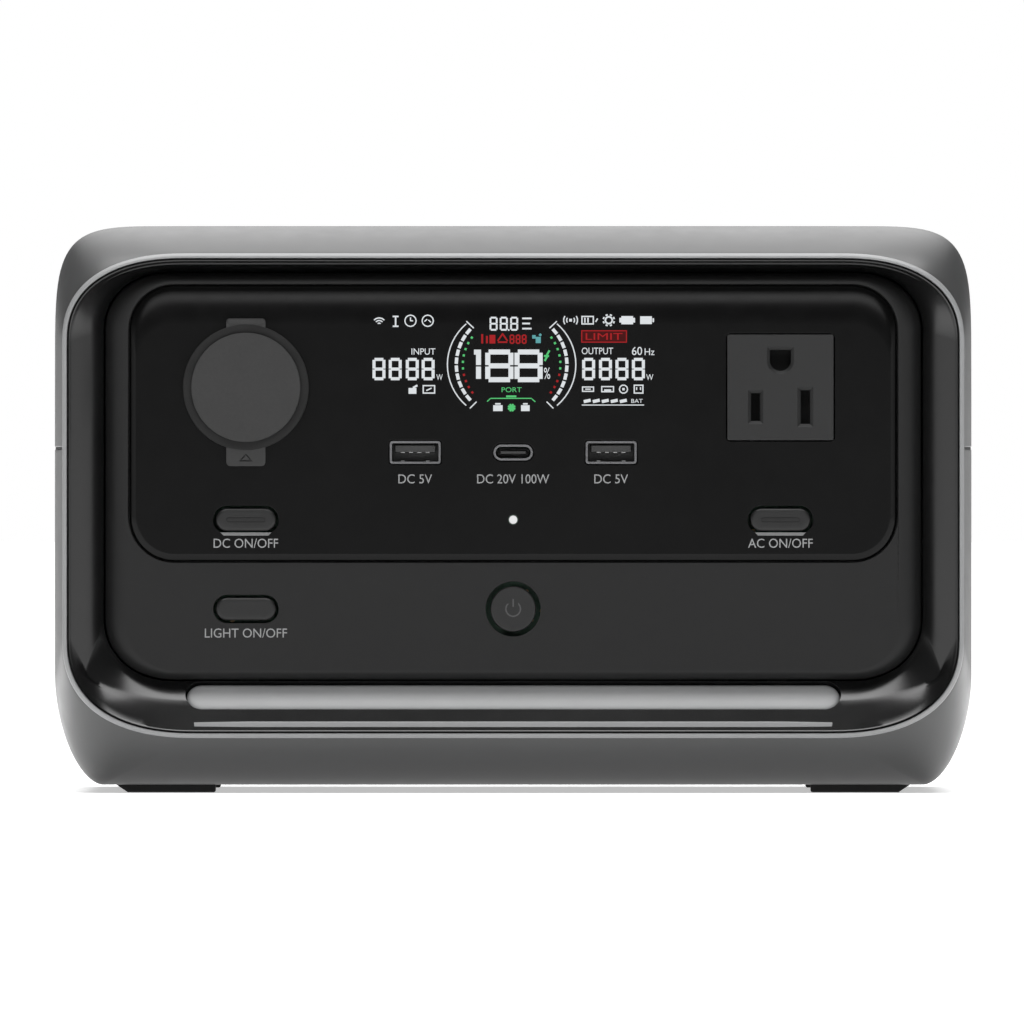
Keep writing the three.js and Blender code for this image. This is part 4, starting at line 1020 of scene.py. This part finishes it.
def make_outlets():
    """One outlet, copied to the front and, turned round, to both places at the rear."""
    base = outlet_block()
    front = corners("ac_outlet_front")[0][1]
    outlet = copied(base, "front_outlet", (COLUMN, front, SOCKET_ROW))
    complete(outlet, outlet_grey, stands_for="ac_outlet_front")
    for side_name, _ in SIDES:
        node = "ac_outlet_rear_" + side_name
        place = middle(node)
        turned_round = copied(base, "rear_outlet_" + side_name)
        turned_round.rotation_euler = (0, 0, math.pi)
        turned_round.location = (place[0] * MM, corners(node)[1][1] * MM, place[2] * MM)
        complete(settle(turned_round), outlet_grey, stands_for=node)
    bpy.data.objects.remove(base)
    # The contacts take brass darkened as painted shade.
    dress(contact_brass, "outlet_neutral_contact", "outlet_line_contact", "outlet_ground_contact")


def port_shell(name, port, wall, mouth_corner, steps, front, back):
    """A port's drawn steel shell, with its middle on the port row at X zero."""
    width, height, corner = port
    shell = tile(name, 0, USB_ROW, width, height, front, back, corner, steps)
    carve(shell, tile("usb_mouth", 0, USB_ROW, width - 2 * wall, height - 2 * wall, front - 1, back + 1,
                      mouth_corner, steps))
    return soften(shell, 0.12, 2, 60)


def port_collar(name, port):
    """A frame that closes the gap between a port's shell and its opening."""
    width, height, corner = port
    front, back = PANEL_FACE + 1.2, PANEL_FACE + 2.4
    collar = tile(name, 0, USB_ROW, width + 1.6, height + 1.6, front, back, corner + 0.5, 8)
    mouth = tile("collar_mouth", 0, USB_ROW, width + 0.02, height + 0.02, front - 1, back + 1, corner, 8)
    carve(collar, mouth)
    return soften(collar, 0.15, 2, 60)


def usb_a_tongue(front, back):
    """The tongue of a USB-A port with the moulded block behind it."""
    tongue = tile("usb_tongue", 0, USB_ROW + 0.95, 10.2, 1.7, front + 2, back - 3, 0.2, 2)
    back_block = tile("usb_block", 0, USB_ROW, 11.85, 4.65, back - 4, back - 0.3, 0.3, 2)
    return soften(carve(tongue, back_block, operation="UNION"), 0.12, 2, 60)


def usb_a_pads(front):
    """Four contact pads under the tongue and two springs in the floor of the shell."""
    pads = [tile("usb_pads", (i - 1.5) * 2.1, USB_ROW + 0.02, 1.0, 0.2, front + 2.2, front + 8)
            for i in range(4)]
    springs = [tile("usb_spring", flank * 3.2, USB_ROW - 2.2, 0.9, 0.3, front + 2, front + 6)
               for flank in (-1, 1)]
    return joined(*pads, *springs)


def make_usb():
    """The two USB-A ports, modelled once and copied, and the USB-C port between them."""
    low, high = corners("usb_a_shell_left")
    front, back = low[1], high[1]
    shell = port_shell("usb_shell", USB_A, 0.55, 0.35, 4, front, back)
    collar = port_collar("usb_collar", USB_A)
    tongue = usb_a_tongue(front, back)
    pads = usb_a_pads(front)
    for side_name, side in SIDES:
        place = (side * USB_PITCH, 0, 0)
        complete(copied(shell, "usb_a_" + side_name, place), port_steel,
                 stands_for="usb_a_shell_" + side_name)
        complete(copied(collar, "port_collar", place), panel_grey)
        complete(copied(tongue, "usb_tongue_" + side_name, place), tongue_black,
                 stands_for="usb_a_tongue_" + side_name)
        complete(copied(pads, "usb_pad", place), pad_grey)
    for model in (shell, collar, tongue, pads):
        bpy.data.objects.remove(model)

    complete(port_collar("port_collar", USB_C), panel_grey)
    low, high = corners("usb_c_shell")
    complete(port_shell("usb_c", USB_C, 0.6, 1.44, 10, low[1], high[1]), port_steel,
             stands_for="usb_c_shell")
    complete(refined("usb_c_tongue", 0.1), tongue_black, stands_for="usb_c_tongue")


# ---- Printed and lit marks ----

MIDDLE = (-0.4, 109.4)  # middle of the display
DIGIT_BARS = {"0": "abcdef", "1": "bc", "5": "afgcd", "6": "afgedc", "8": "abcdefg"}


def bars(name, strokes, front):
    """Thin flat bars, each given as x, z, length, width and turn in degrees, drawn as one piece."""
    bpy.ops.object.select_all(action="DESELECT")
    bpy.ops.mesh.primitive_plane_add(size=1, rotation=(math.pi / 2, 0, 0))
    obj = settle(bpy.context.object)
    obj.name = name
    edit(obj)
    bpy.ops.mesh.select_all(action="SELECT")
    bpy.ops.mesh.delete(type="VERT")
    for x, z, length, width, turn in strokes:
        at = (x * MM, (front + FILM) * MM, z * MM)
        bpy.ops.mesh.primitive_plane_add(size=1, location=at, rotation=(math.pi / 2, 0, 0))
        bpy.ops.transform.resize(value=(length * MM, 1, width * MM), center_override=at)
        if turn:
            bpy.ops.transform.rotate(value=math.radians(turn), orient_axis="Y", center_override=at)
    bpy.ops.mesh.select_all(action="SELECT")
    bpy.ops.mesh.extrude_region_move(TRANSFORM_OT_translate={"value": (0, -FILM * MM, 0)})
    bpy.ops.mesh.select_all(action="SELECT")
    bpy.ops.mesh.normals_make_consistent(inside=False)
    leave()
    return obj


def words(name, text, x, z, width, height, front):
    """A word standing upright, centred on x and z, fitted to a width and the height of its capitals."""
    bpy.ops.object.select_all(action="DESELECT")
    bpy.ops.object.text_add()
    obj = bpy.context.object
    obj.name = name
    obj.data.body = text
    obj.data.size = 1
    obj.data.resolution_u = 4
    obj.data.extrude = 0.5
    obj.data.align_x = "CENTER"
    obj.data.align_y = "CENTER"
    bpy.ops.object.convert(target="MESH")
    low, high = limits(obj)
    reach = (high[0] - low[0]) * MM
    rise = (high[1] - low[1]) * MM
    centre = [(a + b) / 2 * MM for a, b in zip(low, high)]
    for vertex in obj.data.vertices:
        across, up, out = vertex.co
        vertex.co = ((across - centre[0]) / reach * width, (up - centre[1]) / rise * height, out * FILM)
    obj.scale = (MM, MM, MM)
    obj.rotation_euler = (math.pi / 2, 0, 0)
    obj.location = (x * MM, (front + FILM / 2) * MM, z * MM)
    settle(obj)
    return closed(obj)


def digit(value, x, z, width, height, stroke):
    """The bars of one seven-bar figure whose outside is width by height, centred on x and z."""
    half_wide = (width - stroke) / 2
    half_high = (height - stroke) / 2
    long = width - stroke * 1.35
    tall = half_high - stroke * 0.3
    places = {"a": (0, half_high, long, 0), "d": (0, -half_high, long, 0), "g": (0, 0, long, 0),
              "b": (half_wide, half_high / 2, tall, 90), "c": (half_wide, -half_high / 2, tall, 90),
              "f": (-half_wide, half_high / 2, tall, 90), "e": (-half_wide, -half_high / 2, tall, 90)}
    return [(x + places[bar][0], z + places[bar][1], places[bar][2], stroke, places[bar][3])
            for bar in DIGIT_BARS[value]]


def arc(x, z, radius, start, stop, count, fill, width):
    """Bars along an arc, from a start to a stop angle in degrees, each filling part of its share."""
    strokes = []
    step = (stop - start) / count
    for i in range(count):
        turn = start + (i + 0.5) * step
        angle = math.radians(turn)
        length = abs(radius * math.radians(step)) * fill
        strokes.append((x + radius * math.cos(angle), z + radius * math.sin(angle), length, width, turn + 90))
    return strokes


def frame_bars(x, z, width, height, stroke):
    """The four bars of a rectangle."""
    return [(x, z + height / 2, width + stroke, stroke, 0), (x, z - height / 2, width + stroke, stroke, 0),
            (x - width / 2, z, height, stroke, 90), (x + width / 2, z, height, stroke, 90)]


def shifted(strokes, flip=1):
    """Strokes moved from the display's middle to the part's own place, and mirrored where flip is -1."""
    return [(MIDDLE[0] + flip * x, MIDDLE[1] + z, length, width, flip * turn)
            for x, z, length, width, turn in strokes]


def display_strokes():
    white, green, red, cyan = [], [], [], []
    for flip in (1, -1):
        dial = arc(-2.7, 0, 13.67, 130.5, 229.5, 16, 1.02, 0.3)
        dial += [(-10.6, 10.2, 2.6, 0.3, -43), (-9.8, -10.3, 2.4, 0.3, 45)]
        dial += arc(-0.9, 0, 13.2, 135.6, 224.4, 10, 0.8, 0.84)
        white += shifted(dial, flip)
        dots = arc(-0.9, 0, 11.55, 139.2, 222, 10, 0.34, 0.55)
        green += shifted(dots[:6], flip)
        red += shifted(dots[6:], flip)
    for x in (-4.6, -2.0, 0.65):
        white += shifted(digit("8", x, 10.45, 2.05, 3.55, 0.46))
    white += shifted([(-0.75, 8.85, 0.4, 0.4, 0), (3.9, 11.8, 2.4, 0.42, 0), (3.7, 10.5, 2.0, 0.42, 0),
                      (3.9, 9.2, 2.4, 0.42, 0)])
    white += shifted(digit("1", -9.1, -0.3, 2.6, 8.3, 1.28)) + shifted([(-8.7, 3.2, 1.8, 1.28, 0)])
    for x in (-3.13, 4.33):
        white += shifted(digit("8", x, -0.3, 7.2, 8.34, 1.28))
    white += shifted([(-3.5, -11.1, 2.4, 1.5, 0), (-3.5, -10.0, 1.4, 0.4, 0), (3.5, -11.1, 2.2, 1.5, 0),
                      (3.5, -10.0, 1.2, 0.4, 0)])
    red += shifted([(-7.5, 6.6, 0.5, 2.4, 0), (-6.3, 6.4, 0.5, 1.9, 0), (-4.9, 6.5, 1.5, 2.2, 0),
                    (-2.9, 7.0, 2.3, 0.4, 55), (-1.7, 7.0, 2.3, 0.4, -55), (-2.3, 5.75, 2.4, 0.4, 0)])
    for x in (0.1, 1.65, 3.2):
        red += shifted(digit("8", x, 6.5, 1.25, 2.4, 0.36))
    cyan += shifted([(5.7, 7.1, 0.9, 0.9, 0), (6.8, 6.3, 1.3, 1.6, 0), (7.3, 7.6, 0.6, 0.6, 45)])
    green += shifted([(9.3, 3.0, 1.5, 0.5, 60), (8.9, 2.2, 1.3, 0.5, 0), (8.8, 1.6, 1.5, 0.5, 60)])
    green += shifted([(-5.8, -9.0, 1.2, 0.26, 42), (-0.1, -8.6, 10.4, 0.26, 0), (5.6, -9.1, 1.2, 0.26, -42),
                      (-0.1, -8.1, 2.6, 0.5, 0)])
    green += shifted(arc(0, -10.97, 0.5, 0, 360, 8, 1.3, 1.0))
    white += shifted(side_block(-1)) + shifted(side_block(1))
    red += shifted(frame_bars(23.6, 7.2, 11.4, 2.9, 0.26))
    return white, green, red, cyan


def side_block(side):
    """The figures and small symbols to the left or to the right of the dial."""
    figures = (-33.85, -29.7, -25.35, -21.3) if side < 0 else (19.65, 23.95, 28.15, 32.35)
    strokes = []
    for x in figures:
        strokes += digit("8", x, -1.12, 3.3, 5.7, 0.77)
    if side < 0:
        for radius in (0.5, 1.15, 1.8):
            strokes += arc(-33.8, 10.1, radius, 45, 135, 4, 1.1, 0.32)
        strokes += [(-29.6, 11.0, 0.4, 2.6, 0), (-29.6, 12.3, 1.5, 0.4, 0), (-29.6, 9.8, 1.5, 0.4, 0)]
        for x in (-25.8, -21.4):
            strokes += arc(x, 11.2, 1.4, 0, 360, 12, 1.05, 0.3)
        strokes += [(-25.8, 11.6, 0.9, 0.3, 90), (-25.5, 11.2, 0.7, 0.3, 0)]
        strokes += [(-21.9, 11.3, 0.9, 0.28, 40), (-20.9, 11.1, 0.9, 0.28, -40)]
        strokes += [(-25.3, -6.7, 2.0, 1.5, 0), (-24.6, -5.6, 1.3, 0.5, 30)]
        strokes += frame_bars(-21.1, -6.3, 2.9, 1.9, 0.32) + [(-21.1, -6.3, 1.5, 0.32, 25)]
        return strokes
    strokes += [(15.05, 11.35, 0.7, 0.7, 0)]
    for radius in (1.0, 1.75):
        for start in (145, -35):
            strokes += arc(15.05, 11.35, radius, start, start + 70, 3, 1.1, 0.3)
    strokes += frame_bars(19.4, 11.35, 2.9, 1.9, 0.32)
    strokes += [(18.7, 11.35, 0.35, 1.3, 0), (19.5, 11.35, 0.35, 1.3, 0), (21.7, 11.35, 1.0, 0.35, 60)]
    strokes += arc(24.8, 11.35, 0.85, 0, 360, 8, 1.1, 0.4) + arc(24.8, 11.35, 1.4, 0, 360, 8, 0.5, 0.4)
    strokes += [(29.5, 11.35, 3.0, 2.1, 0), (27.8, 11.35, 0.6, 1.2, 0), (31.2, 11.35, 0.6, 1.2, 0)]
    strokes += [(34.3, 11.35, 3.0, 2.0, 0), (36.15, 11.35, 0.4, 1.0, 0)]
    strokes += frame_bars(19.5, -6.25, 2.8, 1.1, 0.3) + [(19.5, -6.25, 1.4, 0.3, 0)]
    strokes += frame_bars(24.5, -6.25, 3.0, 1.3, 0.3) + [(24.5, -6.5, 1.8, 0.4, 0)]
    strokes += arc(28.55, -6.25, 1.0, 0, 360, 10, 1.1, 0.3) + [(28.55, -6.25, 0.6, 0.6, 0)]
    strokes += frame_bars(32.4, -6.25, 2.2, 2.0, 0.32) + [(31.9, -6.1, 0.3, 0.7, 0), (32.9, -6.1, 0.3, 0.7, 0)]
    strokes += [(19.3 + 2.3 * i, -9.25, 1.8, 0.8, 12) for i in range(5)]
    strokes += [(25.85, -10.3, 15.9, 0.24, 0)]
    return strokes


def shown(text, x, z, width, height):
    """A word on the display, placed from the display's middle."""
    return words("word", text, MIDDLE[0] + x, MIDDLE[1] + z, width, height, PLATE_FACE - FILM)


def make_display():
    """The lit display: films on the faceplate, one to a colour."""
    front = PLATE_FACE - FILM
    white, green, red, cyan = display_strokes()
    # Each word: its text, its place from the display's middle, its width and the height of its capitals.
    texts = (("INPUT", -22.5, 3.35, 6.1, 1.6), ("OUTPUT", 21.9, 3.5, 8.0, 1.7), ("W", -18.4, -3.2, 1.6, 1.5),
             ("W", 35.25, -3.2, 1.8, 1.5), ("60", 32.0, 3.5, 2.6, 2.1), ("Hz", 35.2, 3.3, 2.5, 1.7),
             ("%", 9.05, -2.2, 1.6, 2.9), ("BAT", 32.0, -9.25, 2.9, 1.0))
    pale = joined(bars("display_white", white, front), *[shown(*text) for text in texts])
    lime = joined(bars("display_green", green, front), shown("PORT", 0, -6.4, 5.1, 1.25))
    alarm = joined(bars("display_red", red, front), shown("LIMIT", 23.6, 7.2, 9.4, 1.7))
    field = bars("limit_field", shifted([(23.6, 7.2, 11.3, 2.8, 0)]), PLATE_FACE - FILM / 3)
    signs = bars("display_cyan", cyan, front)
    for film, finish in ((pale, mark_white), (lime, mark_green), (alarm, mark_red), (field, mark_dim_red),
                         (signs, mark_cyan)):
        complete(film, finish)


def make_labels():
    """The printed labels, as one film on the faceplate and the panel."""
    plate, panel = PLATE_FACE - FILM, PANEL_FACE - FILM
    under_ports, under_keys, under_lamp_key = USB_ROW - 6.75, UPPER_ROW - 6.0, LOWER_ROW - 6.15
    prints = (("DC 5V", -USB_PITCH, under_ports, 8.6, plate), ("DC 20V 100W", 0, under_ports, 18.4, plate),
              ("DC 5V", USB_PITCH, under_ports, 8.6, plate), ("DC ON/OFF", -COLUMN, under_keys, 16.5, plate),
              ("AC ON/OFF", COLUMN, under_keys, 16.5, plate),
              ("LIGHT ON/OFF", -COLUMN, under_lamp_key, 21.0, panel))
    capitals = 2.35
    film = joined(*[words("label", text, x, z, width, capitals, depth)
                    for text, x, z, width, depth in prints])
    film.name = "front_labels"
    complete(film, label_print)


# ---- Rear: cover, inlets, flap and handle ----


def make_rear():
    complete(refined("rear_cover", 0.3), case_grey, stands_for="rear_cover")
    for node in ("ac_inlet", "solar_inlet"):
        complete(refined(node, 0.25), bezel_black, stands_for=node)
    flap = refined("port_flap", 0.4)
    complete(flap, cover_rubber, body="port_flap", stands_for="port_flap")
    dress(port_steel, "flap_hinge_pin")
    make_screws()


def make_screws():
    """Crosshead screws at the corners of the rear cover."""
    head = turned("screw", [(0.9, 2.1), (0.9, 2.9), (0.35, 2.9), (0.05, 2.3), (0, 1.0)], 0, 0, 32)
    for width, height in ((2.6, 0.5), (0.5, 2.6)):
        carve(head, tile("screw_slot", 0, 0, width, height, -1, 0.6))
    head.rotation_euler = (0, 0, math.pi)
    settle(head)
    places = [(-92, 20), (92, 20), (-98, 100), (98, 100), (0, 124)]
    copies = [copied(head, "rear_screw", (x, REAR_FACE + SCREW_RISE, z)) for x, z in places]
    bpy.data.objects.remove(head)
    screws = joined(*copies)
    screws.name = "rear_screws"
    complete(screws, port_steel)


def handle_points(inset):
    """The handle as seen from above: two arms that turn into a bar, as a ring of points."""
    low, high = corners("carry_handle")
    half, far, near = high[0] - inset, high[1] - inset, low[1]
    arm, bar, bend = 16 - 2 * inset, 15 - 2 * inset, 26 - inset
    steps = 14
    outer = []
    for i in range(steps + 1):
        turn = i / steps * math.pi / 2
        outer.append((half - bend + bend * math.cos(turn), far - bend + bend * math.sin(turn)))
    inner_bend = bend - bar
    inner = []
    for i in range(steps + 1):
        turn = math.pi / 2 - i / steps * math.pi / 2
        inner.append((half - arm - inner_bend + inner_bend * math.cos(turn),
                      far - bar - inner_bend + inner_bend * math.sin(turn)))
    right = [(half, near), *outer]
    left = [(-x, y) for x, y in reversed(right)]
    inner_right = [*inner, (half - arm, near)]
    inner_left = [(-x, y) for x, y in reversed(inner_right)]
    return right + left + inner_left + inner_right


def make_handle():
    """The carry handle, skinned from above and laid down, with its grip."""
    low, high = corners("carry_handle")
    curve = [(high[2], 3.6), (high[2] - 0.7, 1.7), (high[2] - 2.1, 0.6), (high[2] - 4.2, 0),
             (low[2] + 4.2, 0), (low[2] + 2.1, 0.6), (low[2] + 0.7, 1.7), (low[2], 3.6)]
    handle = skin("handle_bar", [(height, handle_points(inset)) for height, inset in curve])
    for vertex in handle.data.vertices:
        x, height, y = vertex.co
        vertex.co = (x, y, height)
    closed(handle)
    complete(handle, case_grey, stands_for="carry_handle")
    grip = refined("handle_grip", 0.5, 3)
    complete(grip, grip_rubber, stands_for="handle_grip")


# ---- Inside ----


def make_inside():
    dress(cell_wrap, *[f"battery_cell_{i}" for i in range(1, 8)])
    dress(holder_black, "cell_holder_left", "cell_holder_right")
    dress(board_green, "control_board", "battery_board", "inverter_board")
    dress(aluminium, "heatsink")
    dress(core_iron, "transformer")
    dress(can_black, "capacitor_left", "capacitor_right")
    dress(fan_black, "fan_frame", "fan_rotor")


aim_camera()
fill_world()
add_floor()
add_light("overhead_soft", (0, -0.45, 1.7), (0, -0.45, 0), 1.9, 44, 1.5)
add_light("brow_soft", (0, -2.0, 0.72), (0, -0.1, 0.1), 1.3, 6, 0.3)
for light_side in (-1, 1):
    add_light("side_soft", (light_side * 1.5, -0.4, 0.2), (0, -0.1, 0.1), 0.9, 0.9, 0.6)
    add_light("low_soft", (light_side * 1.6, -1.9, 0.16), (0, -0.1, 0.03), 1.3, 2.5, 0.6)
make_case()
make_feet()
make_vents()
make_bezel()
make_light_bar()
make_panel()
make_keys()
make_power_key()
make_status_lamp()
make_socket()
make_cover()
make_outlets()
make_usb()
make_display()
make_labels()
make_rear()
make_handle()
make_inside()

bpy.context.scene.view_settings.view_transform = "Standard"
